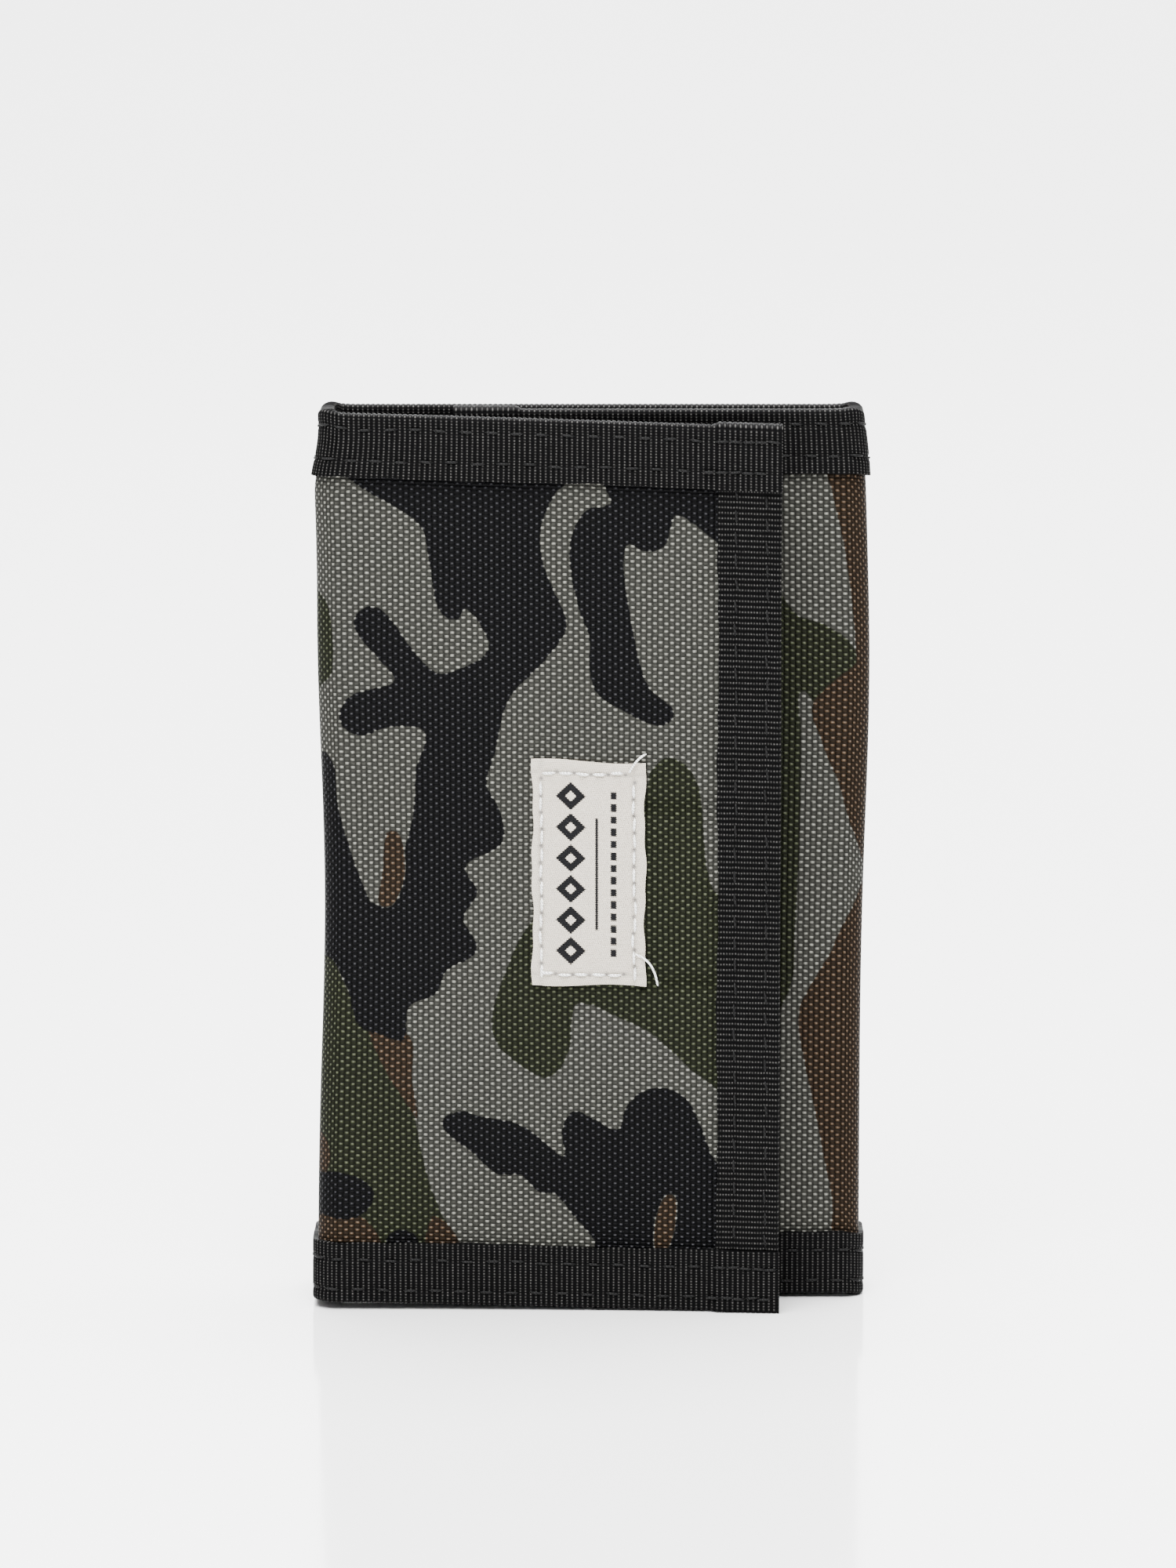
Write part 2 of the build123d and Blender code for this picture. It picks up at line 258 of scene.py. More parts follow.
# %% [markdown]
# ## Where the strip is cut
# The strip crosses four joints, and a piece can bend across only one. So the strip is cut, for the
# computer, at the middle of each narrow side and of the back.

# %% Spans and their folds
SPAN_NAMES = ("front", "left", "right", "inner")
MID = (0, FRONT + LEFT / 2, FOLDS[1] + BACK / 2, FOLDS[2] + RIGHT / 2, STRIP)


def bend(piece):
    """Bake the piece's place into its points; nothing here bends it about a fold."""
    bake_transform(piece)
    return piece


def attach(piece, body, slot, *nodes):
    """Ride a piece on one body and hide the CAD nodes it stands for; slot is not used."""
    if nodes:
        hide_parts(*nodes)
    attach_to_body(piece, body)


print("span edges along the strip, mm:", np.round(MID, 1))

# %% [markdown]
# ## Materials: small helpers
# A material is a graph of nodes. These helpers add one node and hand back its output, so that a pattern
# reads like a formula. Patterns read the strip coordinates kept on the vertices, in millimetres, so they
# follow the cloth round a fold and stay put when the wallet opens.

# %% Node helpers
def new_material(name, colour, roughness, sheen=0.0, specular=0.5):
    """A material with its shader's plain numbers set, and its node tree and shader."""
    material = bpy.data.materials.new(name)
    material.use_nodes = True
    tree = material.node_tree
    shader = tree.nodes["Principled BSDF"]
    shader.inputs["Base Color"].default_value = (*colour, 1)
    shader.inputs["Roughness"].default_value = roughness
    shader.inputs["Sheen Weight"].default_value = sheen
    shader.inputs["Sheen Roughness"].default_value = 0.5
    shader.inputs["Specular IOR Level"].default_value = specular
    material.diffuse_color = (*colour, 1)
    return material, tree, shader


def put(tree, kind, settings, inputs):
    """Add a node, set its properties, and give each input a socket or a constant."""
    node = tree.nodes.new(kind)
    for key, value in settings.items():
        setattr(node, key, value)
    for key, value in inputs.items():
        if isinstance(value, bpy.types.NodeSocket):
            tree.links.new(value, node.inputs[key])
        else:
            node.inputs[key].default_value = value
    return node


def calc(tree, operation, *values):
    """One Math node."""
    return put(tree, "ShaderNodeMath", {"operation": operation}, dict(enumerate(values))).outputs[0]


def remap(tree, value, low, high, to_low=0.0, to_high=1.0):
    """Smooth step of a value from low..high to to_low..to_high."""
    inputs = {"Value": value, "From Min": low, "From Max": high, "To Min": to_low, "To Max": to_high}
    return put(tree, "ShaderNodeMapRange", {"interpolation_type": "SMOOTHSTEP"}, inputs).outputs[0]


def mix(tree, factor, a, b):
    """Colour mix; a and b are sockets or RGB triples."""
    inputs = {"Factor": factor, "A": a if hasattr(a, "type") else (*a, 1),
              "B": b if hasattr(b, "type") else (*b, 1)}
    node = tree.nodes.new("ShaderNodeMix")
    node.data_type = "RGBA"
    sockets = {"Factor": node.inputs[0], "A": node.inputs[6], "B": node.inputs[7]}
    for key, value in inputs.items():
        if isinstance(value, bpy.types.NodeSocket):
            tree.links.new(value, sockets[key])
        else:
            sockets[key].default_value = value
    return node.outputs[2]


def field(tree, name, socket="Fac"):
    """Read a named value from the vertices."""
    return put(tree, "ShaderNodeAttribute", {"attribute_name": name}, {}).outputs[socket]


def strip_axes(tree):
    """The strip coordinates s and z, in millimetres, and their vector."""
    vector = field(tree, "strip", "Vector")
    parts = put(tree, "ShaderNodeSeparateXYZ", {}, {0: vector}).outputs
    return parts[0], parts[1], vector


def noise(tree, vector, scale, detail=2.0, roughness=0.5):
    """Noise over the strip coordinates; scale is in features per millimetre."""
    inputs = {"Vector": vector, "Scale": scale, "Detail": detail, "Roughness": roughness}
    return put(tree, "ShaderNodeTexNoise", {}, inputs).outputs["Fac"]


def scaled(tree, colour, factor):
    """A colour times a number."""
    return put(tree, "ShaderNodeVectorMath", {"operation": "SCALE"}, {0: colour, "Scale": factor}).outputs[0]


def bump(tree, shader, height, strength, distance):
    """Feed a height into the shader's normal; distance is in metres."""
    inputs = {"Height": height, "Strength": strength, "Distance": distance}
    tree.links.new(put(tree, "ShaderNodeBump", {}, inputs).outputs[0], shader.inputs["Normal"])


def link(tree, value, shader, socket):
    """Feed a socket into a named input of the shader."""
    tree.links.new(value, shader.inputs[socket])


# %% [markdown]
# ## The weave
# The outer cloth is a heavy plain weave: each upright yarn shows as an oval pebble where it passes over a
# flat one, and the pebbles stand in a chequer. The product of two sines is exactly that: positive on one
# half of the chequer, negative on the other. Raised to a power, the hump turns into a rounded pebble. The
# flat yarns between them are kept low. A highlight is painted a little above each pebble's middle, where
# the top light catches it, so a third value, the same product shifted up, marks that place.

# %% Weave formula
WEAVE_ACROSS, WEAVE_UP = 0.77, 0.53
LIT_SHIFT = 0.11


def weave(tree, s, z, vector, across, up, wander=0.16):
    """Height |sin(pi s/a) sin(pi z/b)|^0.6 with the flat yarns low, the upright pebbles alone, their lit side."""
    drift = calc(tree, "MULTIPLY", calc(tree, "SUBTRACT", noise(tree, vector, 0.45), 0.5), wander * 6)
    u = calc(tree, "SINE", calc(tree, "MULTIPLY_ADD", s, math.pi / across, drift))
    v = calc(tree, "SINE", calc(tree, "MULTIPLY_ADD", z, math.pi / up, drift))
    product = calc(tree, "MULTIPLY", u, v)
    over = calc(tree, "POWER", calc(tree, "MAXIMUM", product, 0.0), 0.6)
    under = calc(tree, "POWER", calc(tree, "MAXIMUM", calc(tree, "MULTIPLY", product, -1.0), 0.0), 0.6)
    raised = calc(tree, "SINE", calc(tree, "MULTIPLY_ADD", z, math.pi / up,
                                     calc(tree, "SUBTRACT", drift, math.pi * LIT_SHIFT / up)))
    lit = calc(tree, "MAXIMUM", calc(tree, "MULTIPLY", calc(tree, "MULTIPLY", u, raised), over), 0.0)
    return calc(tree, "MULTIPLY_ADD", under, 0.35, over), over, lit


# %% [markdown]
# ## The printed cloth
# The print has four inks: mid grey, dark green, dark brown and near black. The outlines are worked out
# further down, as distances from each blot's edge, and kept on the vertices. Here a distance below zero
# means ink. The weave breaks up each edge a little, as real ink does on a rough cloth.

# %% Printed cloth material
GREY, GREEN, BROWN, BLACK = ((0.136, 0.136, 0.118), (0.031, 0.036, 0.017), (0.056, 0.034, 0.018),
                             (0.0026, 0.0026, 0.0040))
PEBBLE_HIGHLIGHT = (0.042, 0.042, 0.043)
printed, tree, shader = new_material("printed_cloth", GREY, 0.42, specular=0.05)
s, z, vector = strip_axes(tree)
height, over, upper = weave(tree, s, z, vector, WEAVE_ACROSS, WEAVE_UP)
edge_noise = calc(tree, "MULTIPLY_ADD", calc(tree, "SUBTRACT", noise(tree, vector, 1.3), 0.5), 0.5,
                  calc(tree, "MULTIPLY", height, 0.12))
colour = None
for ink, rgb in (("ink_green", GREEN), ("ink_brown", BROWN), ("ink_black", BLACK)):
    mask = remap(tree, calc(tree, "ADD", field(tree, ink), edge_noise), -0.08, 0.12, 1.0, 0.0)
    colour = mix(tree, mask, GREY if colour is None else colour, rgb)
# Painted shade and light: the colour is darkened in the gaps between the pebbles and lightened on each pebble's lit
# upper side; a random mottle multiplies it.
shade = remap(tree, calc(tree, "MULTIPLY_ADD", upper, 0.5, calc(tree, "MULTIPLY", height, 0.6)), 0.05, 1.0, 0.14, 1.26)
spotty = remap(tree, noise(tree, vector, 1.9, 3.0), 0.3, 0.75, 0.75, 1.25)
shade_and_mottle = calc(tree, "MULTIPLY", shade, spotty)
dark = scaled(tree, colour, shade_and_mottle)
# Painted highlight: a light grey is added to the colour on each pebble's lit upper side.
highlight_mask = calc(tree, "MULTIPLY", calc(tree, "POWER", upper, 2.5), spotty)
painted_highlight = scaled(tree, PEBBLE_HIGHLIGHT, highlight_mask)
lit = put(tree, "ShaderNodeVectorMath", {"operation": "ADD"}, {0: dark, 1: painted_highlight}).outputs[0]
link(tree, lit, shader, "Base Color")
link(tree, remap(tree, over, 0.3, 0.95, 0.62, 0.36), shader, "Roughness")
bump(tree, shader, height, 1.0, 0.0005)

# %% [markdown]
# ## Ribbon, lining, thread
# The ribbon's ribs are real geometry further down; its material only paints a highlight where the fine warp
# threads cross each rib's crest, as rows of tiny light dots. The lining and the pockets are a fine plain weave
# with painted shade between the yarns. Thread is twisted, which a slanted sine of painted light and shade shows.

# %% Ribbon, lining and thread materials
WARP_PITCH = 0.40
RIB_CREST_HIGHLIGHT = (0.076, 0.074, 0.071)


def ribbon_material(name, along, rib_pitch, colour=(0.0016, 0.0016, 0.0017)):
    """Black ribbon; along is 0 where the ribs stand upright, 1 where they lie level."""
    material, tree, shader = new_material(name, colour, 0.5, specular=0.02)
    s, z, vector = strip_axes(tree)
    run, cross = (z, s) if along else (s, z)
    warp = calc(tree, "ABSOLUTE", calc(tree, "SINE", calc(tree, "MULTIPLY", cross, math.pi / WARP_PITCH)))
    rib = calc(tree, "ABSOLUTE", calc(tree, "COSINE", calc(tree, "MULTIPLY", run, math.pi / rib_pitch)))
    fuzz = noise(tree, vector, 3.0, 3.0)
    # Painted highlight: light dots where the warp threads cross the crest of each rib.
    crest_highlight = calc(tree, "MULTIPLY", calc(tree, "POWER", warp, 2.4), calc(tree, "POWER", rib, 9.0))
    light = calc(tree, "MULTIPLY", crest_highlight, remap(tree, fuzz, 0.35, 0.7, 0.3, 1.0))
    link(tree, mix(tree, light, colour, RIB_CREST_HIGHLIGHT), shader, "Base Color")
    link(tree, remap(tree, fuzz, 0.3, 0.7, 0.42, 0.62), shader, "Roughness")
    bump(tree, shader, calc(tree, "MULTIPLY_ADD", fuzz, 0.3, warp), 0.5, 0.00008)
    return material


def plain_cloth(name, colour, across, up, roughness=0.7, sheen=0.03, strength=0.6):
    """Fine plain weave in one colour, with painted light on the raised yarns and painted shade between them."""
    material, tree, shader = new_material(name, colour, roughness, sheen=sheen, specular=0.08)
    s, z, vector = strip_axes(tree)
    height = weave(tree, s, z, vector, across, up, 0.08)[0]
    mottled = remap(tree, noise(tree, vector, 0.25, 4.0), 0.3, 0.7, 0.85, 1.15)
    # Painted shade: darker between the yarns, lighter on the raised ones, times a random mottle.
    painted_shade_tone = calc(tree, "MULTIPLY", remap(tree, height, 0.0, 0.9, 0.55, 1.35), mottled)
    link(tree, scaled(tree, colour, painted_shade_tone), shader, "Base Color")
    bump(tree, shader, height, strength, 0.00012)
    return material


def thread_material(name, colour, roughness):
    """Twisted thread: a slanted sine in strip coordinates, painted as light and shade on the twist."""
    material, tree, shader = new_material(name, colour, roughness, specular=0.1)
    s, z = strip_axes(tree)[:2]
    twist = calc(tree, "SINE", calc(tree, "MULTIPLY", calc(tree, "ADD", s, z), 2 * math.pi / 0.45))
    # Painted light and shade along the twist; the bump below follows the same sine.
    painted_shade_tone = remap(tree, twist, -1.0, 1.0, 0.6, 1.3)
    link(tree, scaled(tree, colour, painted_shade_tone), shader, "Base Color")
    bump(tree, shader, twist, 0.4, 0.00006)
    return material


RIB_PITCH, END_RIB_PITCH, FINE_RIB_PITCH = 0.717, 0.76, 0.65
edge_ribbon = ribbon_material("edge_ribbon", 0, RIB_PITCH)
end_ribbon = ribbon_material("end_ribbon", 1, END_RIB_PITCH)
pocket_ribbon = ribbon_material("pocket_ribbon", 0, FINE_RIB_PITCH, (0.0025, 0.0025, 0.0027))
lining_cloth = plain_cloth("lining_cloth", (0.0075, 0.0075, 0.0082), 0.32, 0.3)
pocket_cloth = plain_cloth("pocket_cloth", (0.0095, 0.0095, 0.0102), 0.4, 0.36)
black_thread = thread_material("black_thread", (0.0058, 0.0058, 0.0058), 0.5)
white_thread = thread_material("white_thread", (0.86, 0.86, 0.84), 0.6)
print("materials so far:", len(bpy.data.materials))

# %% [markdown]
# ## Blots of the print
# Each blot is a closed outline with only the points that its shape needs, rounded by a Catmull-Rom
# curve, which passes through every point. A blot's field is the distance to its outline, negative
# inside, and blots of one ink are joined by taking the smallest. Distances are measured on the flat
# strip: `x` counts from the left fold on the front flap, and from the left side on the inner flap.
# The rest of the strip, round the back, gets blots from smooth waves whose phases come from one seed.

# %% Outline distance
def rounded(points, per_side=6):
    """Closed Catmull-Rom curve: on each side, the cubic with slopes (next - previous) / 2."""
    p = np.array(points, float)
    a, b, c, d = np.roll(p, 1, 0), p, np.roll(p, -1, 0), np.roll(p, -2, 0)
    t = (np.arange(per_side) / per_side)[None, :, None]
    a, b, c, d = (v[:, None] for v in (a, b, c, d))
    curve = b + 0.5 * t * (c - a + t * (2 * a - 5 * b + 4 * c - d + t * (3 * (b - c) + d - a)))
    return curve.reshape(-1, 2)


def blot_distance(x, z, points):
    """Distance to a rounded outline: nearest side, made negative where a ray crosses it an odd number."""
    a = rounded(points)
    b = np.roll(a, -1, 0)
    best = np.full(x.shape, 1e9)
    inside = np.zeros(x.shape, bool)
    for (ax, az), (bx, bz) in zip(a, b):
        ex, ez = bx - ax, bz - az
        t = np.clip(((x - ax) * ex + (z - az) * ez) / (ex * ex + ez * ez + 1e-9), 0, 1)
        best = np.minimum(best, np.hypot(x - ax - t * ex, z - az - t * ez))
        if az != bz:
            inside ^= ((az > z) != (bz > z)) & (x < ex * (z - az) / ez + ax)
    return np.where(inside, -best, best)


# %% Outlines, in millimetres from the left fold and the bottom edge
FRONT_BLACK = (
    ((5, 118), (6.2, 114.7), (14.2, 109.8), (15.7, 105), (17, 98), (19.5, 96.4), (21.1, 97.9), (23.9, 93.5),
     (22.6, 91), (18, 89), (15.6, 89.8), (12.9, 93), (10, 97), (7.7, 98), (5.7, 96.5), (6, 94.2), (8.7, 90.9),
     (11, 87.6), (5.6, 85.8), (3.5, 83.4), (4, 80.9), (6.7, 80), (9.8, 81.2), (14.2, 81.3), (15.2, 79.5),
     (13.9, 75.8), (13.4, 69.5), (11.8, 63), (10.4, 57.8), (7.7, 56.6), (5.9, 60), (4.2, 65), (2.6, 71),
     (2, 76), (-2, 77), (-6, 68), (-7, 58), (-3, 50), (1.5, 48.2), (4, 44.7), (5.6, 39.5), (9.2, 38),
     (12, 37.4), (12.8, 42.2), (16.4, 44), (18, 47.4), (21.6, 49.5), (22, 51.5), (20.3, 55), (22.3, 58.5),
     (20.6, 62.2), (25.6, 65.4), (25.4, 70), (23.6, 73.7), (24.7, 78), (26.6, 85.5), (30.4, 89.8),
     (34, 94.3), (34.5, 97), (32.8, 101), (31.3, 105), (31.1, 109.6), (33, 114.3), (35, 118)),
    ((41, 117), (40.6, 113.1), (37.4, 112.2), (35.4, 109), (35, 104.5), (36.2, 98.5), (37.7, 94.5),
     (37.7, 89.8), (38.9, 86.6), (42.7, 84.2), (46.6, 82.5), (48.9, 83.2), (48.9, 85.2), (45.9, 87.8),
     (44.4, 92), (43.2, 98.2), (42.4, 104), (42.9, 107.6), (45.3, 106.6), (47.9, 107.4), (48.8, 110),
     (49.6, 111.9), (52, 110.6), (55, 108.4), (59, 107), (59, 118)),
    ((17.4, 26.4), (20, 27.6), (22.6, 26.9), (27.6, 26.1), (30.9, 24), (34.2, 21.4), (33.9, 25.2),
     (35.4, 28), (38.1, 27), (41.6, 25.5), (42.7, 28.6), (44.8, 30.9), (47.9, 31.6), (51, 30.2), (53, 26.5),
     (55, 21.6), (59, 18), (59, 4), (37, 4), (38.6, 8.8), (35.5, 13), (33, 16), (30.6, 16.3), (28.2, 18.7),
     (25, 18.7), (21.4, 21.8), (18.2, 24.2)),
    ((-5, 18), (0, 18.4), (3, 18.6), (6.4, 17.6), (8.1, 15.5), (7, 13), (4.4, 11.8), (0, 12.3), (-5, 12)),
    ((9.8, 9.4), (11.8, 10.6), (14, 9.4), (13.8, 7), (10, 7)),
)
FRONT_BROWN_OVER = (((46.6, 10), (47, 13.5), (48.3, 16.3), (49.7, 15.8), (49.6, 12), (48.6, 8.6), (47, 8)),)
FRONT_GREEN = (
    ((45.4, 73), (46, 76), (48.6, 78.2), (51.6, 76.4), (53, 72.6), (53.5, 66), (54.6, 60), (58, 55), (58, 30),
     (54.6, 32.2), (52, 34), (48.9, 36.9), (45.8, 39.5), (41.2, 41.6), (38.1, 43), (35.8, 43), (35.2, 40),
     (35, 36.9), (33.5, 33.8), (31.6, 32.6), (29.3, 33.5), (25.4, 36.6), (24.2, 39.6), (24.7, 43.4),
     (26.3, 48), (28.6, 53), (34, 60), (42, 66)),
    ((-7, 52), (1, 49), (5, 43), (9, 40), (12.6, 36), (13.4, 28), (15.3, 18.4), (17, 13.5), (19, 5), (-7, 5)),
    ((-4, 99), (0.8, 98.8), (2.4, 95), (2.5, 90), (1.3, 87.6), (-4, 87)),
)
FRONT_BROWN = (
    ((7.2, 39.4), (12.9, 38), (13.2, 31.7), (14.1, 26.2), (11.8, 29.4), (9.2, 33.6)),
    ((-4, 13.5), (2, 12.4), (6, 12.4), (8.6, 9.6), (9, 5), (-4, 5)),
    ((16, 12.5), (19.5, 9.5), (20, 5), (15, 5)),
    ((9.6, 66.5), (11.6, 66), (12.2, 61), (10.6, 56.6), (8.4, 56.6), (9, 61)),
    ((-3, 24), (0.6, 23), (1.6, 20.6), (0.4, 18), (-3, 18)),
)
INNER_BROWN = (
    ((70.6, 118), (71, 112), (72, 107), (73.2, 98), (74, 91), (75, 80), (75.6, 66), (80, 66), (80, 118)),
    ((68.6, 84.5), (69.4, 78), (71.6, 72.5), (74, 66), (80, 62), (80, 90)),
    ((73.8, 54), (71, 48.4), (68, 43.2), (66.7, 39.5), (67.4, 33.8), (69, 26.5), (70.5, 18.7), (71.6, 12.9),
     (72, 4), (80, 4), (80, 56)),
)
INNER_GREEN = (
    ((60, 97), (66.4, 95.6), (69.5, 94.6), (73, 92), (75.4, 87), (75.4, 78), (73.4, 73.8), (71, 78.4),
     (69, 82.6), (66.4, 85.2), (66.6, 78), (66.6, 66), (66.2, 52), (65.4, 43), (60, 40)),
)


# %% Fields of the three inks over any part of the strip
WAVES = np.random.default_rng(11)
WAVE_COUNT = 26


def wave_blots(s, z, level, long=40.0):
    """Smooth sum of slanted cosines of random phase, minus a level, scaled to be nearly a distance."""
    angle = WAVES.uniform(0, math.pi, WAVE_COUNT)
    length = WAVES.uniform(0.55, 1.5, WAVE_COUNT) * long
    phase = WAVES.uniform(0, 2 * math.pi, WAVE_COUNT)
    k = 2 * math.pi / length
    total = np.zeros(np.shape(s))
    for a, f, p in zip(angle, k, phase):
        total += np.cos(f * (np.cos(a) * s * 1.2 + np.sin(a) * z * 0.75) + p)
    return (level - total / math.sqrt(WAVE_COUNT)) * long / 7


def nearest(x, z, outlines):
    """Field of several blots of one ink: the smallest of their distances."""
    return np.minimum.reduce([blot_distance(x, z, o) for o in outlines])


STRIP_STEP, HEIGHT_STEP, FAR = 0.45, 0.5, 9.0
STRIP_GRID = np.arange(-1, STRIP + 1.01, STRIP_STEP)
HEIGHT_GRID = np.arange(-1, top_z + 1.01, HEIGHT_STEP)
grid_s, grid_z = np.meshgrid(STRIP_GRID, HEIGHT_GRID, indexing="ij")
on_front = 1 - ramp(grid_s, FRONT + 3, FRONT + 8)
from_right = grid_s - FOLDS[3]
on_inner = ramp(from_right, -6, -3) * (1 - ramp(from_right, 14, 19))
front_x = FRONT - grid_s
inner_x = BACK - from_right


def ink_field(front_outlines, inner_outlines, level):
    """Listed blots on the two flaps, wave blots elsewhere, blended by on_front and on_inner."""
    free = wave_blots(grid_s, grid_z, level)
    front = nearest(front_x, grid_z, front_outlines)
    inner = nearest(inner_x, grid_z, inner_outlines) if inner_outlines else np.full(grid_s.shape, FAR)
    near = np.clip(on_front * front + (1 - on_front) * free, -FAR, FAR)
    return on_inner * np.clip(inner, -FAR, FAR) + (1 - on_inner) * near


inks = {
    "ink_green": ink_field(FRONT_GREEN, INNER_GREEN, 0.30),
    "ink_brown": ink_field(FRONT_BROWN, INNER_BROWN, 0.75),
    "ink_black": ink_field(FRONT_BLACK, (), 0.35),
}
over_brown = nearest(front_x, grid_z, FRONT_BROWN_OVER)
island = np.minimum(over_brown, nearest(front_x, grid_z, FRONT_BROWN[3:4]))
inks["ink_black"] = np.maximum(inks["ink_black"], np.where(on_front > 0.5, -island, -FAR))
inks["ink_brown"] = np.where(on_front > 0.5, np.minimum(inks["ink_brown"], over_brown), inks["ink_brown"])
print("print grid:", grid_s.shape, "ink share:", {k: round(float((v < 0).mean()), 2) for k, v in inks.items()})


def sample(values, s, z):
    """Bilinear reading of a strip field at any points."""
    i = np.clip((s - STRIP_GRID[0]) / STRIP_STEP, 0, len(STRIP_GRID) - 1.001)
    j = np.clip((z - HEIGHT_GRID[0]) / HEIGHT_STEP, 0, len(HEIGHT_GRID) - 1.001)
    a, b = i.astype(int), j.astype(int)
    u, v = i - a, j - b
    low = values[a, b] * (1 - u) + values[a + 1, b] * u
    high = values[a, b + 1] * (1 - u) + values[a + 1, b + 1] * u
    return low * (1 - v) + high * v


# %% [markdown]
# ## The outer cloth
# One sheet 0.8 mm thick, in the four spans. Its face lies one ribbon's thickness inside the outermost
# plane. Behind the front flap a patch of hook tape is sewn on near the free edge; its two level seams
# pull the cloth in, so the face has two shallow puckered furrows there. The pebbles of the weave are
# smaller than the mesh can hold, so they stay in the material.

# %% Outer cloth
HOOK_LOW, HOOK_HIGH = edges_of("hook_strip")[0][2], edges_of("hook_strip")[1][2]
FURROW = 0.42
CLOTH_STEP = 0.44


def furrows(s, z):
    """Two level furrows: -depth * bell(z) * window(s), rippled along their length."""
    window = ramp(s, 7.5, 9.0) * (1 - ramp(s, 18.0, 21.0))
    rippled = 1 + 0.5 * np.sin(2 * math.pi * s / 1.54)
    seams = bell(z, HOOK_LOW + 0.5, 1.0) + bell(z, HOOK_HIGH, 1.2)
    return FURROW * window * rippled * seams


def span_grid(k, low, high, step_s, step_z, trim_start=0.0, trim_end=0.0):
    """Grid of strip coordinates over span k, trimmed at the strip's two free ends."""
    start = MID[k] + (trim_start if k == 0 else 0)
    end = MID[k + 1] - (trim_end if k == 3 else 0)
    s = np.linspace(start, end, int((end - start) / step_s) + 2)
    z = np.linspace(low, high, int((high - low) / step_z) + 2)
    return np.meshgrid(s, z, indexing="ij")


def cloth_sheet(name, s, z, face, back, material, fields=None):
    """A sheet between two depths; face and back are depths or arrays of depths."""
    points, quads = closed_sheet(carry(s, face, z)[0], carry(s, back, z)[0])
    kept = {"strip": layout(s, z)}
    for field_name, values in (fields or {}).items():
        kept[field_name] = np.concatenate([sample(values, s, z).ravel()] * 2)
    return build(name, points, quads, material, kept)


OUTER_NODES = ("front_shell", "left_spine_shell", "back_shell", "inner_shell")
for k, span in enumerate(SPAN_NAMES):
    s, z = span_grid(k, RIBBON, top_z - RIBBON, CLOTH_STEP, 0.5, RIBBON, RIBBON)
    face = RIBBON + (furrows(s, z) if k == 0 else 0)
    piece = cloth_sheet("outer_cloth_" + span, s, z, face, RIBBON + CLOTH, printed, inks)
    nodes = (OUTER_NODES[k], "right_spine_shell") if k == 2 else (OUTER_NODES[k],)
    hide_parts(*nodes)
    bend(piece)

# %% [markdown]
# ## The ribbon over the long edges
# Grosgrain ribbon is folded over each edge and sewn through with two rows of stitches. Its section is a
# hairpin: down one face, a half turn, down the other. The ribs stand across its length, and each rib is a
# rounded bar, so the section is pushed out by |cos|^0.7 as it runs along the strip, and pulled in again
# along each row of stitches. Over the flap's free end the ribbon also covers the end ribbon, and rides up.

# %% Ribbon sections
STITCH_ROWS = (2.0, 6.3)
RIB_HEIGHT = 0.15
OVER_END = 0.42
TURN_RISE = 0.55
LEG = np.array([8.7, 8.45, 7.6, 6.9, 6.6, 6.3, 6.0, 5.7, 4.8, 3.8, 3.0, 2.6, 2.3, 2.0, 1.7, 1.2]) / RIBBON_HEIGHT
TURN = np.linspace(math.pi, 0, 9)


def hairpin(leg, rise):
    """Section of a folded ribbon: share of its width, and drop below the fold.

    The half turn is pressed squarer than an arc: sign(cos)|cos|^0.7 across, 1 - |sin|^0.7 down.
    """
    across = np.sign(np.cos(TURN)) * np.abs(np.cos(TURN)) ** 0.7
    share = np.concatenate([0 * LEG, (1 + across) / 2, 0 * LEG + 1])
    drop = np.concatenate([LEG * leg, rise * (1 - np.abs(np.sin(TURN)) ** 0.7), LEG[::-1] * leg])
    return share[None, :], drop[None, :]


def ribs(run, pitch, drop, leg):
    """Height of the ribs: |cos(pi run/pitch)|^0.7 - 0.35, flattened and drawn in along the stitches."""
    bar = np.abs(np.cos(math.pi * run / pitch)) ** 0.7 - 0.35
    rows = np.clip(sum(bell(drop * RIBBON_HEIGHT / leg, row, 0.3) for row in STITCH_ROWS), 0, 1)
    return RIB_HEIGHT * bar * (1 - 0.7 * rows) - 0.17 * rows


def folded_ribbon(name, run, place, width, leg, wall, pitch, material, over=0.0):
    """Ribbon folded over an edge; place(run, depth, drop) gives points, run is the length along it."""
    share, drop = hairpin(leg, TURN_RISE)
    run, width, over = (np.asarray(v, float)[..., None] for v in (run, width, over))
    side = 2 * share - 1
    high = ribs(run, pitch, drop, leg) * wall / RIBBON
    round_top = np.clip(1 - drop / TURN_RISE, 0, 1)
    wavy = 0.13 * np.sin(run / 5.3) * drop / leg + 0.07 * np.sin(run / 1.1) * (drop > 0.95 * leg)
    low = drop + wavy
    outer = place(run, share * width + side * (high + over), low - round_top * (high + over))
    inner = place(run, wall + share * (width - 2 * wall) + side * over, low + round_top * wall)
    piece = build(name, *closed_sheet(outer, inner), material, {"strip": place(run, low, low, flat=True)}, sharp=75)
    return piece


def along_edge(at_top, edge):
    """Placer for a ribbon that runs along the strip at a given height."""
    def place(run, depth, drop, flat=False):
        z = edge - drop if at_top else edge + drop
        return layout(run, z) if flat else carry(run, depth, z)[0]
    return place


def ribbon_run(start, end, pitch):
    """Four samples a rib, and the exact ends."""
    run = np.arange(start, end, pitch / 4)
    return np.append(run[(run < end - 0.02)], end)


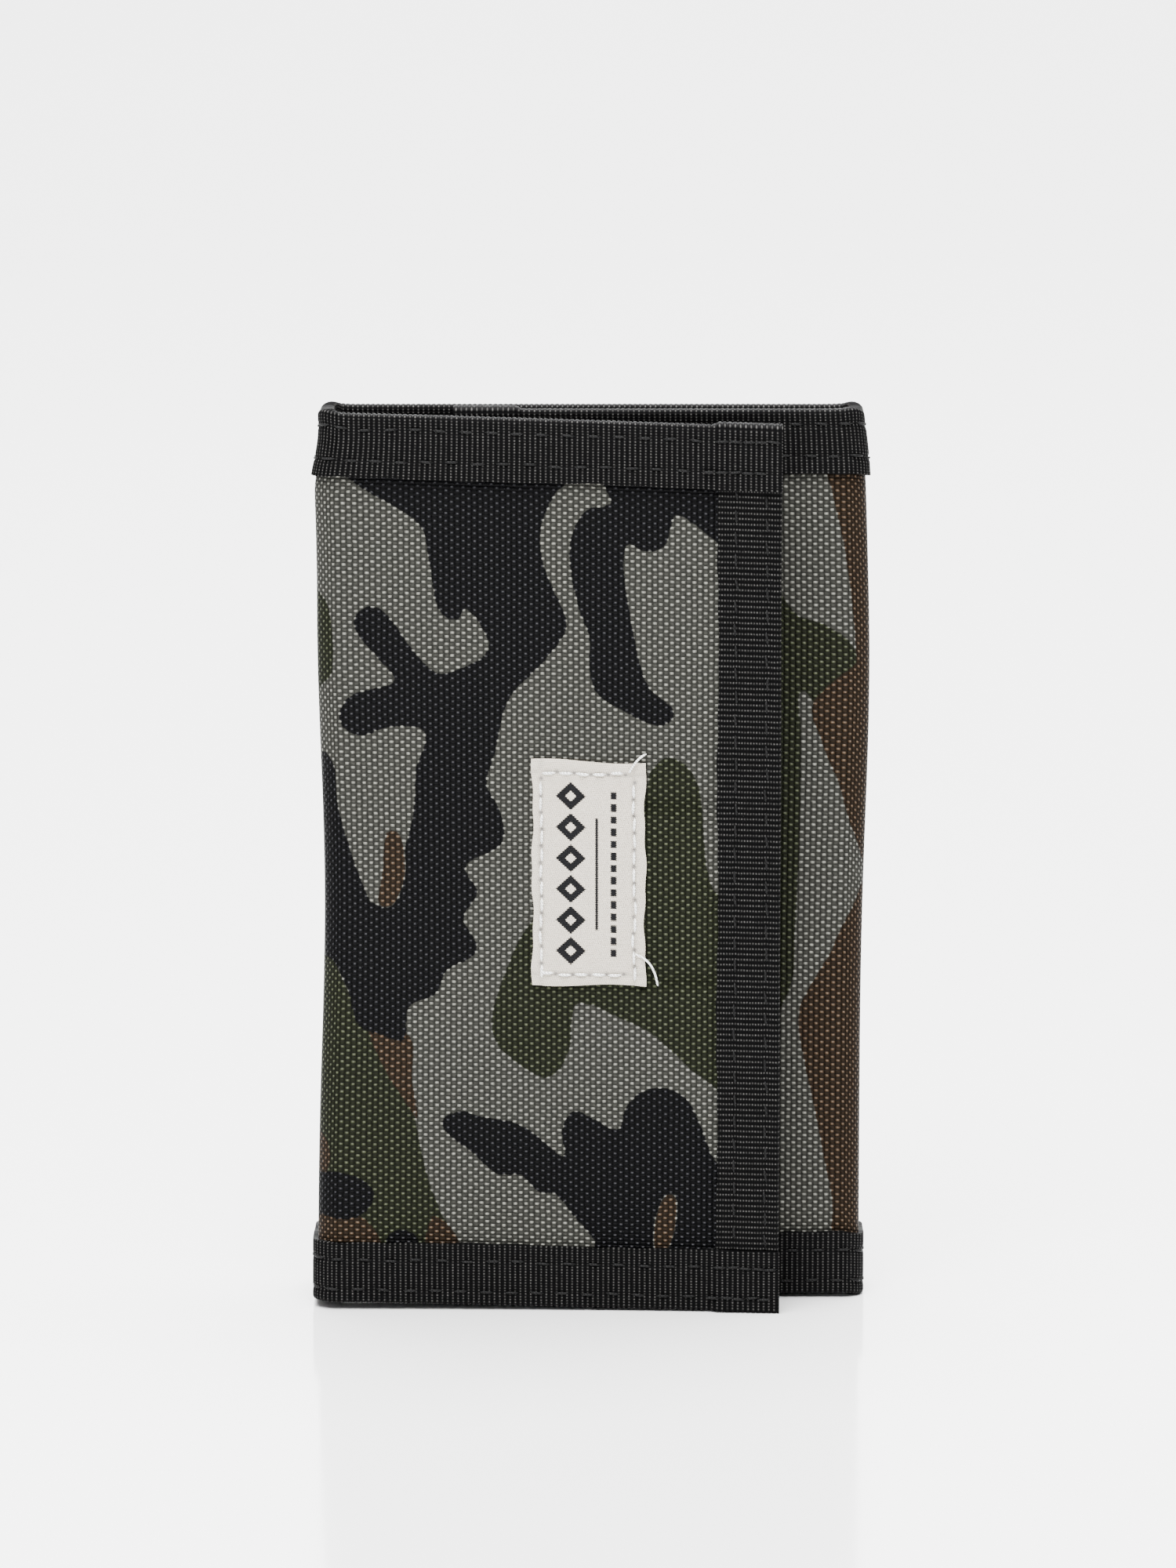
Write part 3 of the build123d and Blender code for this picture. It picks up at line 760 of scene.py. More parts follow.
# %% Ribbons over the long edges, four spans each
FLAP_STACK, BACK_STACK, TOP_STACK = 3.7, 7.0, 2.0
RIBBON_NODES = {
    "top": (("front_top_binding",), ("left_spine_top_binding",), ("back_top_binding", "right_spine_top_binding"),
            ("inner_top_binding",)),
    "bottom": (("front_bottom_binding",), ("left_spine_bottom_binding",),
               ("back_bottom_binding", "right_spine_bottom_binding"), ("inner_bottom_binding",))}
for place_name, at_top in (("top", True), ("bottom", False)):
    for k, span in enumerate(SPAN_NAMES):
        run = ribbon_run(MID[k], MID[k + 1], RIB_PITCH)
        at_ends = 1 - ramp(run, 8.4, 9.6) + ramp(run, STRIP - 9.6, STRIP - 8.4)
        thick = ramp(run, FOLDS[1] + 2, FOLDS[1] + 9) * (1 - ramp(run, FOLDS[2] - 9, FOLDS[2] - 2))
        stack = np.full(run.shape, TOP_STACK) if at_top else FLAP_STACK + (BACK_STACK - FLAP_STACK) * thick
        piece = folded_ribbon(f"{place_name}_ribbon_{span}", run, along_edge(at_top, top_z if at_top else 0.0),
                              stack, RIBBON_HEIGHT, RIBBON, RIB_PITCH, edge_ribbon, OVER_END * at_ends)
        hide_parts(*RIBBON_NODES[place_name][k])
        bend(piece)
        print(piece.name, "quads", len(piece.data.polygons))

# %% [markdown]
# ## The ribbon over the two ends
# The strip's two ends are bound with the same ribbon, standing upright. Here the section lies level, and
# the ribs lie level too. It was sewn on first, so its ends run in under the ribbons of the long edges.

# %% Ribbons over the ends
def upright_at(end_s, direction):
    """Placer for a ribbon that runs up an end of the strip; drop goes along the strip from the end."""
    def place(run, depth, drop, flat=False):
        s = end_s + direction * drop
        return layout(s, run + 0 * s) if flat else carry(s, depth, run)[0]
    return place


for name, end_s, direction, node, body in (("free_edge_ribbon", 0.0, 1, "front_end_binding", "front_flap"),
                                           ("inner_edge_ribbon", STRIP, -1, "inner_end_binding", "inner_flap")):
    run = ribbon_run(0.9, top_z - 0.9, END_RIB_PITCH)
    waver = 0.05 + 0.03 * np.sin(run / 7)
    piece = folded_ribbon(name, run, upright_at(end_s, direction), FLAP_STACK + 0 * run, RIBBON_HEIGHT, RIBBON,
                          END_RIB_PITCH, end_ribbon, -waver)
    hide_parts(node)
    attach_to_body(piece, body)
    print(name, "quads", len(piece.data.polygons))

# %% [markdown]
# ## Stitches
# A lockstitch shows as a row of short bars of thread, each diving into the cloth at both ends. One bar is
# a small capsule bent down at its ends, and a row is that capsule repeated by adding its place, direction
# and normal, all in one array. The real rows wander a little, so each stitch is shifted and turned by a
# seeded random amount.

# %% Stitch arrays
SEWING = np.random.default_rng(5)
BAR_RINGS, BAR_SIDES = 5, 6


def thread_bars(name, centres, tangents, normals, length, thick, material, arch=0.12):
    """Capsules: centre + tangent t + normal arch (1 - 1.7 t^4) + ring of radius thick/2 sqrt(1 - t^8)."""
    t = np.linspace(-1, 1, BAR_RINGS)
    ring = np.sqrt(np.clip(1.02 - t**8, 0.02, 1))
    angle = np.arange(BAR_SIDES) * 2 * math.pi / BAR_SIDES
    side = np.cross(tangents, normals)
    along = tangents[:, None, None] * (t * length / 2)[None, :, None, None]
    lift = normals[:, None, None] * (arch * (1 - 1.7 * t**4))[None, :, None, None]
    round_ = (side[:, None, None] * np.cos(angle)[None, None, :, None]
              + normals[:, None, None] * np.sin(angle)[None, None, :, None])
    body = centres[:, None, None] + along + lift + round_ * (ring * thick / 2)[None, :, None, None]
    count = len(centres)
    points = body.reshape(-1, 3)
    index = np.arange(count * BAR_RINGS * BAR_SIDES).reshape(count, BAR_RINGS, BAR_SIDES)
    turn = np.roll(index, -1, axis=2)
    walls = np.stack([index[:, :-1], turn[:, :-1], turn[:, 1:], index[:, 1:]], -1).reshape(-1, 4)
    caps = [np.stack([c[:, 0], c[:, 1], c[:, 2], c[:, 3]], -1) for c in (index[:, 0, ::-1], index[:, -1])]
    rest = [np.stack([c[:, 0], c[:, 3], c[:, 4], c[:, 5]], -1) for c in (index[:, 0, ::-1], index[:, -1])]
    quads = np.concatenate([walls, *caps, *rest])
    strip = np.concatenate([points[:, :1] - points[:, 1:2], points[:, 2:3], 0 * points[:, :1]], axis=1)
    return build(name, points, quads, material, {"strip": strip}, sharp=80)


def stitch_row(name, s, z, depth, slant, length, thick, material, inside=False, jitter=0.07, arch=0.12):
    """Bars at strip places s, z; slant is the bar's angle from the strip's length, in radians."""
    s, z, depth, slant = np.broadcast_arrays(*(np.asarray(v, float) for v in (s, z, depth, slant)))
    s = s + SEWING.normal(0, jitter, s.shape)
    z = z + SEWING.normal(0, jitter, s.shape)
    slant = slant + SEWING.normal(0, 0.05, s.shape)
    centre, normal = carry(s, depth, z)
    ahead = carry(s + 0.1 * np.cos(slant), depth, z + 0.1 * np.sin(slant))[0]
    tangent = ahead - centre
    tangent /= np.linalg.norm(tangent, axis=1, keepdims=True)
    normal = -normal if inside else normal
    normal = normal - tangent * (normal * tangent).sum(1, keepdims=True)
    normal /= np.linalg.norm(normal, axis=1, keepdims=True)
    return thread_bars(name, centre, tangent, normal, length, thick, material, arch)


# %% Rows along the ribbons
LONG_PITCH, END_PITCH = 3.5, 3.15
BACKTACK = 8.0
for k, span in enumerate(SPAN_NAMES):
    run = np.arange(MID[k] + LONG_PITCH * (0.35 if k == 0 else 0.5), MID[k + 1] - 1.2, LONG_PITCH)
    tacks = run[run < BACKTACK] + 1.7 if k == 0 else run[:0]
    every = np.concatenate([run, tacks])
    near_end = np.maximum(1 - ramp(every, 8.4, 9.6), ramp(every, STRIP - 9.6, STRIP - 8.4))
    depth = 0.10 - OVER_END * near_end
    heights = [f(row) for row in STITCH_ROWS for f in (lambda v: top_z - v, lambda v: v)]
    s_all = np.concatenate([every + 0.9 * (n % 3) for n in range(len(heights))])
    z_all = np.concatenate([np.full(every.shape, h) for h in heights])
    keep = s_all < MID[k + 1] - 0.9
    piece = stitch_row("edge_stitches_" + span, s_all[keep], z_all[keep], np.tile(depth, len(heights))[keep], 0.0,
                       2.1, 0.36, black_thread)
    bend(piece)
    print(piece.name, int(keep.sum()), "stitches")
for name, end_s, direction, body in (("free_edge_stitches", 0.0, 1, "front_flap"),
                                     ("inner_edge_stitches", STRIP, -1, "inner_flap")):
    up = np.arange(RIBBON_HEIGHT + 1.4, top_z - RIBBON_HEIGHT - 0.8, END_PITCH)
    s_all = np.concatenate([end_s + direction * np.full(up.shape, row) for row in STITCH_ROWS] * 2)
    z_all = np.concatenate([up, up + 1.2] * 2)
    half = len(s_all) // 2
    outside = stitch_row(name, s_all[:half], z_all[:half], 0.16, math.pi / 2 - 0.10, 2.0, 0.38, black_thread)
    inside = stitch_row(name + "_inside", s_all[half:], z_all[half:], FLAP_STACK - 0.1, math.pi / 2 + 0.10, 2.0, 0.38,
                        black_thread, inside=True)
    for piece in (outside, inside):
        attach(piece, body, "grosgrain_binding")
    print(name, half, "stitches a side")

# %% [markdown]
# ## The woven label
# The label is a separate piece of tightly woven white cloth, folded under at its top and bottom and sewn
# flat with white thread. Its motif is only a generic one here: a column of bold lozenges and two thin
# rules, woven in black. The motif is a distance kept on the vertices, so that the ink edge can step with
# the threads, as it does in a jacquard weave.

# %% Label cloth
LABEL_LOW, LABEL_HIGH = edges_of("woven_label")
label_x0, label_x1 = LABEL_LOW[0] - left_x, LABEL_HIGH[0] - left_x
label_z0, label_z1 = LABEL_LOW[2], LABEL_HIGH[2]
label_wide, label_tall = label_x1 - label_x0, label_z1 - label_z0
LOZENGES, LOZENGE_WIDE, MARGIN = 6, 2.1, 2.7


def label_motif(u, v):
    """Signed distance, mm: a column of lozenges |x|/a + |y|/b - 1, a plain rule and a dotted rule."""
    tall = (label_tall - 2 * MARGIN) / LOZENGES
    y = (v - MARGIN) % tall - tall / 2
    x = u - label_wide * 0.34
    outer = (np.abs(x) / LOZENGE_WIDE + np.abs(y) / (tall * 0.46) - 1) * 1.5
    hole = (np.abs(x) / 0.75 + np.abs(y) / (tall * 0.17) - 1) * 0.7
    column = np.maximum(np.maximum(outer, -hole), np.abs(v - label_tall / 2) - (label_tall / 2 - MARGIN))
    from_middle = np.abs(v - label_tall / 2)
    dash = np.abs((from_middle % 1.7) - 0.85) - 0.55
    dashes = np.maximum(np.maximum(np.abs(u - label_wide * 0.72) - 0.42, dash), from_middle - 1.7 * 7)
    plain_rule = np.maximum(np.abs(u - label_wide * 0.57) - 0.2, from_middle - label_tall * 0.25)
    return np.minimum(np.minimum(column, dashes), plain_rule)


LABEL_PITCH = 2.35
rows, ends = [], []
SEAM_LEFT, SEAM_RIGHT, SEAM_LOW, SEAM_HIGH = 1.2, label_wide - 1.5, 1.5, label_tall - 1.7
for fixed, low, high, upright in ((SEAM_LEFT, 1.8, label_tall - 1.6, True),
                                  (SEAM_RIGHT, 1.6, label_tall - 1.8, True),
                                  (SEAM_LOW, 2.0, label_wide - 2.0, False),
                                  (SEAM_HIGH, 2.2, label_wide - 2.0, False)):
    line = np.arange(low, high, LABEL_PITCH)
    still = np.full(line.shape, fixed) + 0.1 * np.sin(line * 0.7)
    rows.append(np.stack([still, line, 0 * line + math.pi / 2] if upright else [line, still, 0 * line], axis=1))
    hole = line + LABEL_PITCH / 2
    ends.append(np.stack([still, hole] if upright else [hole, still], axis=1))
places, holes = np.concatenate(rows), np.concatenate(ends)
print("label stitches:", len(places))


u, v = np.meshgrid(np.linspace(0, label_wide, 120), np.linspace(0, label_tall, 250), indexing="ij")
middle_u, middle_v = u / label_wide - 0.5, v / label_tall - 0.5
uneven = np.sin(v * 0.42 + 1) + 0.6 * np.sin(v * 1.13 + 2 * middle_u)
edge_x = 0.13 * uneven * np.sign(middle_u) * np.abs(2 * middle_u) ** 6
edge_z = 0.22 * np.sin(u * 0.36 + 0.6) * np.sign(middle_v) * np.abs(2 * middle_v) ** 8
seam = np.maximum(bell(u, SEAM_LEFT, 0.35) + bell(u, SEAM_RIGHT, 0.35),
                  bell(v, SEAM_LOW, 0.35) + bell(v, SEAM_HIGH, 0.35))
rim = np.clip(np.minimum(np.minimum(u, label_wide - u), np.minimum(v, label_tall - v)) / 0.5, 0, 1)
puff = 0.09 * np.sin(u * 0.8 + 1) * np.sin(v * 0.55) * rim
label_s = FRONT - (label_x0 + u + edge_x)
label_z = label_z0 + v + edge_z
# Needle holes: they dimple the face on the next line, and the label's material paints shade into them.
needle_dimple_and_shade = sum(bell(np.hypot(u - hu, v - hv), 0, 0.26) for hu, hv in holes)
face_depth = 0.10 + 0.15 * np.clip(seam, 0, 1) + 0.12 * (1 - rim) - puff + 0.12 * np.clip(needle_dimple_and_shade, 0, 1)
points, quads = closed_sheet(carry(label_s, face_depth, label_z)[0], carry(label_s, 0.58, label_z)[0])
motif = label_motif(u, v)

label_cloth, tree, shader = new_material("label_cloth", (0.74, 0.715, 0.655), 0.7, specular=0.1)
ls, lz, vector = strip_axes(tree)
TWILL, PICK = 0.30, 0.26
slanted = calc(tree, "ADD", ls, calc(tree, "MULTIPLY", lz, 0.8))
twill = calc(tree, "SINE", calc(tree, "MULTIPLY", slanted, 2 * math.pi / TWILL))
pick = calc(tree, "SINE", calc(tree, "MULTIPLY", lz, 2 * math.pi / PICK))
rough = noise(tree, vector, 2.2, 3.0)
stepped = calc(tree, "ADD", field(tree, "motif"), calc(tree, "MULTIPLY", pick, 0.06))
woven_black = remap(tree, stepped, -0.07, 0.07, 1.0, 0.0)
# Painted light and shade: the twill and the picks lighten and darken the cream.
twill_shade = remap(tree, calc(tree, "MULTIPLY", twill, pick), -0.8, 0.8, 0.72, 1.08)
cream = scaled(tree, mix(tree, rough, (0.75, 0.68, 0.58), (0.63, 0.565, 0.47)), twill_shade)
# Painted shade: the needle holes and the seam groove darken the cream.
cream = mix(tree, calc(tree, "MULTIPLY", field(tree, "needle_dimple_and_shade"), 0.75), cream, (0.10, 0.10, 0.11))
link(tree, mix(tree, woven_black, cream, (0.004, 0.004, 0.005)), shader, "Base Color")
bump(tree, shader, calc(tree, "ADD", calc(tree, "MULTIPLY", twill, 0.5), pick), 0.8, 0.00008)
# The kept field is the needle holes plus painted shade along the seam groove.
label = build("label", points, quads, label_cloth,
              {"strip": layout(label_s, label_z), "motif": np.concatenate([motif.ravel()] * 2),
               "needle_dimple_and_shade": np.concatenate([np.clip(needle_dimple_and_shade + 0.22 * seam, 0, 1).ravel()] * 2)})
attach(label, "front_flap", "label_cloth", "woven_label")
print("label, mm:", round(label_wide, 1), round(label_tall, 1))

# %% Label stitches and two loose thread ends
sewn = stitch_row("label_stitches", FRONT - (label_x0 + places[:, 0]), label_z0 + places[:, 1], 0.16, places[:, 2],
                  1.9, 0.40, white_thread, arch=0.12)
attach(sewn, "front_flap", "label_cloth")


def thread_tube(name, path, thick, material, sides=8):
    """Closed tube: rings square to a path of points, radius thick/2, rounded off at both ends."""
    path = np.asarray(path, float)
    step = np.gradient(path, axis=0)
    step /= np.linalg.norm(step, axis=1, keepdims=True)
    side = np.cross(step, np.array([0.0, -1.0, 0.05]))
    side /= np.linalg.norm(side, axis=1, keepdims=True)
    other = np.cross(step, side)
    angle = np.arange(sides) * 2 * math.pi / sides
    radius = thick / 2 * np.sqrt(np.clip(1.02 - np.linspace(-1, 1, len(path)) ** 10, 0.02, 1))
    ring = side[:, None] * np.cos(angle)[None, :, None] + other[:, None] * np.sin(angle)[None, :, None]
    points = (path[:, None] + ring * radius[:, None, None]).reshape(-1, 3)
    index = np.arange(len(points)).reshape(len(path), sides)
    turn = np.roll(index, -1, axis=1)
    walls = np.stack([index[:-1], turn[:-1], turn[1:], index[1:]], -1).reshape(-1, 4)
    caps = [c[[[0, 1, 2, 7], [7, 2, 3, 6], [6, 3, 4, 5]]] for c in (index[0, ::-1], index[-1])]
    strip = np.stack([points[:, 0], points[:, 2], 0 * points[:, 0]], axis=1)
    return build(name, points, np.concatenate([walls, *caps]), material, {"strip": strip}, sharp=80)


for n, (x0, z0, length, lean, curl) in enumerate(((label_x1 - 1.6, 50.6, 5.2, -0.9, 0.9),
                                                  (label_x1 - 2.2, 76.0, 3.4, 0.75, -0.7))):
    t = np.linspace(0, 1, 16)
    x = x0 + length * t * math.cos(lean) + curl * np.sin(t * 3)
    z = z0 + length * t * math.sin(lean) + 0.5 * curl * np.sin(t * 5)
    path = carry(FRONT - x, 0.05 - 0.25 * np.sin(math.pi * t) ** 0.7, z)[0]
    tail = thread_tube(f"loose_thread_{n + 1}", path, 0.30, white_thread)
    attach(tail, "front_flap", "label_cloth")
print("loose thread ends: 2")

# %% [markdown]
# ## The lining
# Inside, a thin cloth runs the whole length of the strip behind the outer cloth, and leaves a gap open at
# the top: that gap is the compartment for notes. Its free top edge has a narrow folded ribbon.

# %% Lining spans
LINING_NODES = (("front_lining",), ("left_spine_lining",), ("back_lining", "right_spine_lining"), ("inner_lining",))
LINING_TOP = edges_of("back_lining")[1][2]
LINING_STEPS, LINING_SAG = (0.9, 1.6), 0.125
for k, span in enumerate(SPAN_NAMES):
    s, z = span_grid(k, RIBBON + 0.2, LINING_TOP, *LINING_STEPS, RIBBON, RIBBON)
    sag = LINING_SAG * np.sin(s / 9.0) * np.sin(math.pi * z / LINING_TOP) * ramp(z, 15, 50)
    piece = cloth_sheet("lining_" + span, s, z, LINING_AT + sag, LINING_AT + LINING + sag, lining_cloth)
    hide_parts(*LINING_NODES[k])
    bend(piece)
    print(piece.name, "points", len(piece.data.vertices))

# %% [markdown]
# ## Card pockets
# Three pockets of thin cloth are laid one over another on the back, each lower than the one behind it.
# They are sewn down at the sides and bottom, so there they press flat, and they stand off between. The
# pinch below is a product of ramps: 0 at the sewn sides and bottom, 1 in the open middle.

# %% Pockets with narrow hems
POCKET_START, POCKET_END = FOLDS[1] + 3.6, FOLDS[2] - 3.6
FINE_WALL, HEM, POCKET_CLOTH = 0.25, 6.0, 0.35


def pinch(s, z):
    """0 at the sewn sides and bottom, 1 in the open middle: a product of ramps."""
    sides = ramp(s, POCKET_START, POCKET_START + 6) * (1 - ramp(s, POCKET_END - 6, POCKET_END))
    return sides * ramp(z, 5.0, 20.0)


def pocket_depth(node, order):
    """Depth of a pocket: sewn depth + pinch * (standing depth - sewn depth)."""
    standing = back_y - edges_of(node)[1][1]
    sewn = LINING_AT + LINING + 0.05 + 0.38 * order
    return lambda s, z: sewn + pinch(s, z) * (standing - sewn)


def hem_at(depth_of, edge):
    """Placer for a narrow ribbon over a pocket's top edge."""
    def place(run, depth, drop, flat=False):
        z = edge + 0.35 * np.sin(run / 11) - drop
        return layout(run, z) if flat else carry(run, depth_of(run, z) - FINE_WALL + depth, z)[0]
    return place


def add_hem(name, node, depth_of, edge, width):
    """Narrow ribbon over an edge, from one sewn side to the other; its cut is twice the hem and the turn."""
    run = ribbon_run(POCKET_START, POCKET_END, FINE_RIB_PITCH)
    hem = folded_ribbon(name, run, hem_at(depth_of, edge), width + 0 * run, HEM, FINE_WALL, FINE_RIB_PITCH,
                        pocket_ribbon)
    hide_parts(node)
    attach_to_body(hem, "back_panel")
    return hem


for order, which in enumerate(("rear", "middle", "front")):
    node = which + "_card_pocket"
    top = edges_of(node)[1][2]
    depth_of = pocket_depth(node, order)
    s, z = np.meshgrid(np.linspace(POCKET_START, POCKET_END, 90), np.linspace(0.8, top, 80), indexing="ij")
    depth = depth_of(s, z)
    pocket = cloth_sheet(which + "_pocket", s, z + 0.35 * np.sin(s / 11) * z / top, depth, depth + POCKET_CLOTH,
                         pocket_cloth)
    attach(pocket, "back_panel", "pocket_cloth", node)
    hem = add_hem(which + "_hem", which + "_pocket_binding", depth_of, top + FINE_WALL, 0.85)
    print(which, "pocket top, mm:", round(top, 1), "quads", len(pocket.data.polygons) + len(hem.data.polygons))
add_hem("lining_hem", "back_lining_binding", lambda s, z: LINING_AT + 0 * s, LINING_TOP + FINE_WALL, 0.9)

# %% [markdown]
# ## The card window
# The inner flap has a clear sheet in a cloth frame, open at the top edge of the frame. The frame is one
# band that runs round a rounded rectangle, so it is a ring: two parameters that both close on themselves.

# %% Window frame and clear sheet
FRAME_LOW, FRAME_HIGH = edges_of("id_window_frame")
PANE_LOW, PANE_HIGH = edges_of("id_window")
BORDER = PANE_LOW[2] - FRAME_LOW[2] + 2.0


def inner_strip(x):
    """Strip coordinate of a place x on the inner flap."""
    return FOLDS[3] + right_x - x


def ring_band(name, low, high, band, depth, thick, material):
    """A band round a rounded rectangle: inset by (1 - cos b) band/2, depth + thick/2 sign(sin b)|sin b|^0.4."""
    a = np.linspace(0, 2 * math.pi, 241)[:-1]
    b = np.linspace(0, 2 * math.pi, 21)[:-1]
    inset = (1 - np.cos(b)) * band / 2
    level = np.sign(np.sin(b)) * np.abs(np.sin(b)) ** 0.4 * thick / 2
    half = (high - low) / 2
    mid = (high + low) / 2
    reach = 1 / np.maximum(np.abs(np.cos(a)), np.abs(np.sin(a))) ** 0.94
    px = np.clip(np.cos(a) * reach, -1, 1)[:, None] * (half[0] - inset)[None]
    pz = np.clip(np.sin(a) * reach, -1, 1)[:, None] * (half[2] - inset)[None]
    s, z = inner_strip(mid[0] + px), mid[2] + pz - INNER_LIFT
    points = carry(s, depth + level[None] + 0 * s, z)[0].reshape(-1, 3)
    index = np.arange(a.size * b.size).reshape(a.size, b.size)
    ahead, turn = np.roll(index, -1, 0), np.roll(index, -1, 1)
    quads = np.stack([index, ahead, np.roll(ahead, -1, 1), turn], -1).reshape(-1, 4)
    strip = np.stack([s, z, 0 * s], -1).reshape(-1, 3)
    return build(name, points, quads, material, {"strip": strip}, sharp=60)


frame_band = ring_band("window_frame", FRAME_LOW, FRAME_HIGH, BORDER, 4.1, 0.42, pocket_cloth)
attach(frame_band, "inner_flap", "pocket_binding", "id_window_frame")
frame_size = (FRAME_HIGH - FRAME_LOW)[[0, 2]]
(frame_size.prod() - (frame_size - 2 * BORDER).prod()) * MM**2
clear_sheet, tree, shader = new_material("clear_sheet", (0.86, 0.88, 0.89), 0.12, specular=0.5)
shader.inputs["Transmission Weight"].default_value = 0.96
shader.inputs["IOR"].default_value = 1.25
wave = noise(tree, strip_axes(tree)[2], 0.09, 2.0)
bump(tree, shader, wave, 0.4, 0.0012)
link(tree, remap(tree, noise(tree, strip_axes(tree)[2], 0.8, 4.0), 0.35, 0.75, 0.05, 0.12), shader, "Roughness")
s, z = np.meshgrid(np.linspace(inner_strip(PANE_HIGH[0]), inner_strip(PANE_LOW[0]), 60),
                   np.linspace(PANE_LOW[2], PANE_HIGH[2], 90) - INNER_LIFT, indexing="ij")
pane_swell = 0.12 * np.sin(s / 8) * np.sin(z / 14)
pane = cloth_sheet("window_sheet", s, z, 3.55 + pane_swell, 3.8 + pane_swell, clear_sheet)
attach(pane, "inner_flap", "clear_sheet", "id_window")
UPRIGHT, LEVEL = 30, 13
frame_start, frame_end = inner_strip(FRAME_HIGH[0]), inner_strip(FRAME_LOW[0])
around_s = np.concatenate([np.full(UPRIGHT, frame_start + 3.9), np.full(UPRIGHT, frame_end - 3.9),
                           np.linspace(frame_start + 6, frame_end - 6, LEVEL)])
around_z = np.concatenate([np.linspace(FRAME_LOW[2] + 4, FRAME_HIGH[2] - 5, UPRIGHT)] * 2
                          + [np.full(LEVEL, FRAME_LOW[2] + 3.3)])
slant = np.concatenate([np.full(2 * UPRIGHT, math.pi / 2), np.zeros(LEVEL)])
around = stitch_row("window_stitches", around_s, around_z, 4.27, slant, 1.9, 0.3, black_thread, inside=True)
attach(around, "inner_flap", "pocket_binding")
print("window frame, mm:", frame_size.round(1), "border", round(BORDER, 1))

# %% [markdown]
# ## The coin pocket and its zip
# On the inside of the front flap a panel of cloth is sewn down round three sides, with a zip along the
# fourth. Its far side turns down to the lining, so its section is a short wall and a long flat. The zip
# has two tapes and two rows of teeth, drawn meshed over their whole length wherever the slider stands;
# the slider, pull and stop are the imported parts.

# %% Coin pocket panel and edge strip
COIN_LOW, COIN_HIGH = edges_of("coin_pocket_panel")
EDGE_LOW, EDGE_HIGH = edges_of("coin_pocket_edge")


def front_strip(x):
    """Strip coordinate of a place x on the front flap."""
    return FRONT - (x - left_x)


def turned_panel(name, s_line, d_line, low, high, thick, material):
    """A sheet whose section is a line of (s, depth), run up from low to high and pressed flat at both ends."""
    z = np.linspace(low, high, 100)
    flat = np.clip((z - low) / 5, 0, 1) * np.clip((high - z) / 5, 0, 1)
    flat = flat * flat * (3 - 2 * flat)
    s = s_line[:, None] + 0 * z[None]
    floor = LINING_AT + LINING + 0.1
    depth = floor + (d_line[:, None] - floor) * (0.45 + 0.55 * flat[None])
    step_s, step_d = np.gradient(s_line), np.gradient(d_line)
    size = np.hypot(step_s, step_d)
    out_s, out_d = -step_d / size * thick, step_s / size * thick
    zz = z[None] + 0 * s
    points, quads = closed_sheet(carry(s, depth, zz)[0], carry(s - out_s[:, None], depth - out_d[:, None], zz)[0])
    return build(name, points, quads, material, {"strip": layout(s, zz)}, sharp=60)


COIN_TOP_DEPTH = COIN_HIGH[1] - front_y
far_s, near_s = front_strip(COIN_HIGH[0]), front_strip(COIN_LOW[0])
s_line = np.concatenate([np.full(6, far_s), far_s + 0.5 - 0.5 * np.cos(np.linspace(0.3, 1.57, 6)),
                         np.linspace(far_s + 1.2, near_s, 50)])
d_line = np.concatenate([np.linspace(3.3, COIN_TOP_DEPTH - 0.6, 6),
                         COIN_TOP_DEPTH - 0.5 + 0.5 * np.sin(np.linspace(0.3, 1.57, 6)), np.full(50, COIN_TOP_DEPTH)])
panel = turned_panel("coin_panel", s_line, d_line, COIN_LOW[2], COIN_HIGH[2], POCKET_CLOTH, pocket_cloth)
edge_s = np.concatenate([np.linspace(front_strip(EDGE_HIGH[0]), front_strip(EDGE_LOW[0]) - 0.5, 10),
                         front_strip(EDGE_LOW[0]) - 0.5 * np.cos(np.linspace(0.3, 1.57, 5)),
                         np.full(4, front_strip(EDGE_LOW[0]))])
edge_d = np.concatenate([np.full(10, COIN_TOP_DEPTH), COIN_TOP_DEPTH - 0.5 * np.sin(np.linspace(0.1, 1.2, 5)),
                         np.linspace(COIN_TOP_DEPTH - 0.6, 3.4, 4)])
edge_strip = turned_panel("coin_panel_edge", edge_s, edge_d, EDGE_LOW[2], EDGE_HIGH[2], POCKET_CLOTH, pocket_cloth)
for piece, wide, nodes in ((panel, near_s - far_s + 1.3, ("coin_pocket_panel", "coin_pocket_gusset")),
                           (edge_strip, 3.8, ("coin_pocket_edge",))):
    attach(piece, "front_flap", "pocket_cloth", *nodes)
    max(wide, 10) * MM

# %% Zip tapes and teeth
TAPE_LOW, TAPE_HIGH = edges_of("zip_tape_left")
TEETH_LOW, TEETH_HIGH = edges_of("zip_teeth_left")
ZIP_X = (edges_of("zip_teeth_left")[1][0] + edges_of("zip_teeth_right")[0][0]) / 2
ZIP_S = front_strip(ZIP_X)
TAPE_NEAR, TAPE_FAR, TAPE_DEPTH, TAPE_THICK = 0.55, 4.1, 4.13, 0.28
TOOTH_PITCH, TOOTH_OUT, TOOTH_DEPTH, TOOTH_LEAN = 1.36, 0.62, 4.42, 0.18
zip_cloth = plain_cloth("zip_cloth", (0.020, 0.020, 0.021), 0.36, 0.5, roughness=0.6)
teeth_plastic, tree, shader = new_material("teeth_plastic", (0.018, 0.018, 0.019), 0.3, specular=0.5)
link(tree, remap(tree, noise(tree, strip_axes(tree)[2], 1.6, 3.0), 0.3, 0.7, 0.24, 0.42), shader, "Roughness")
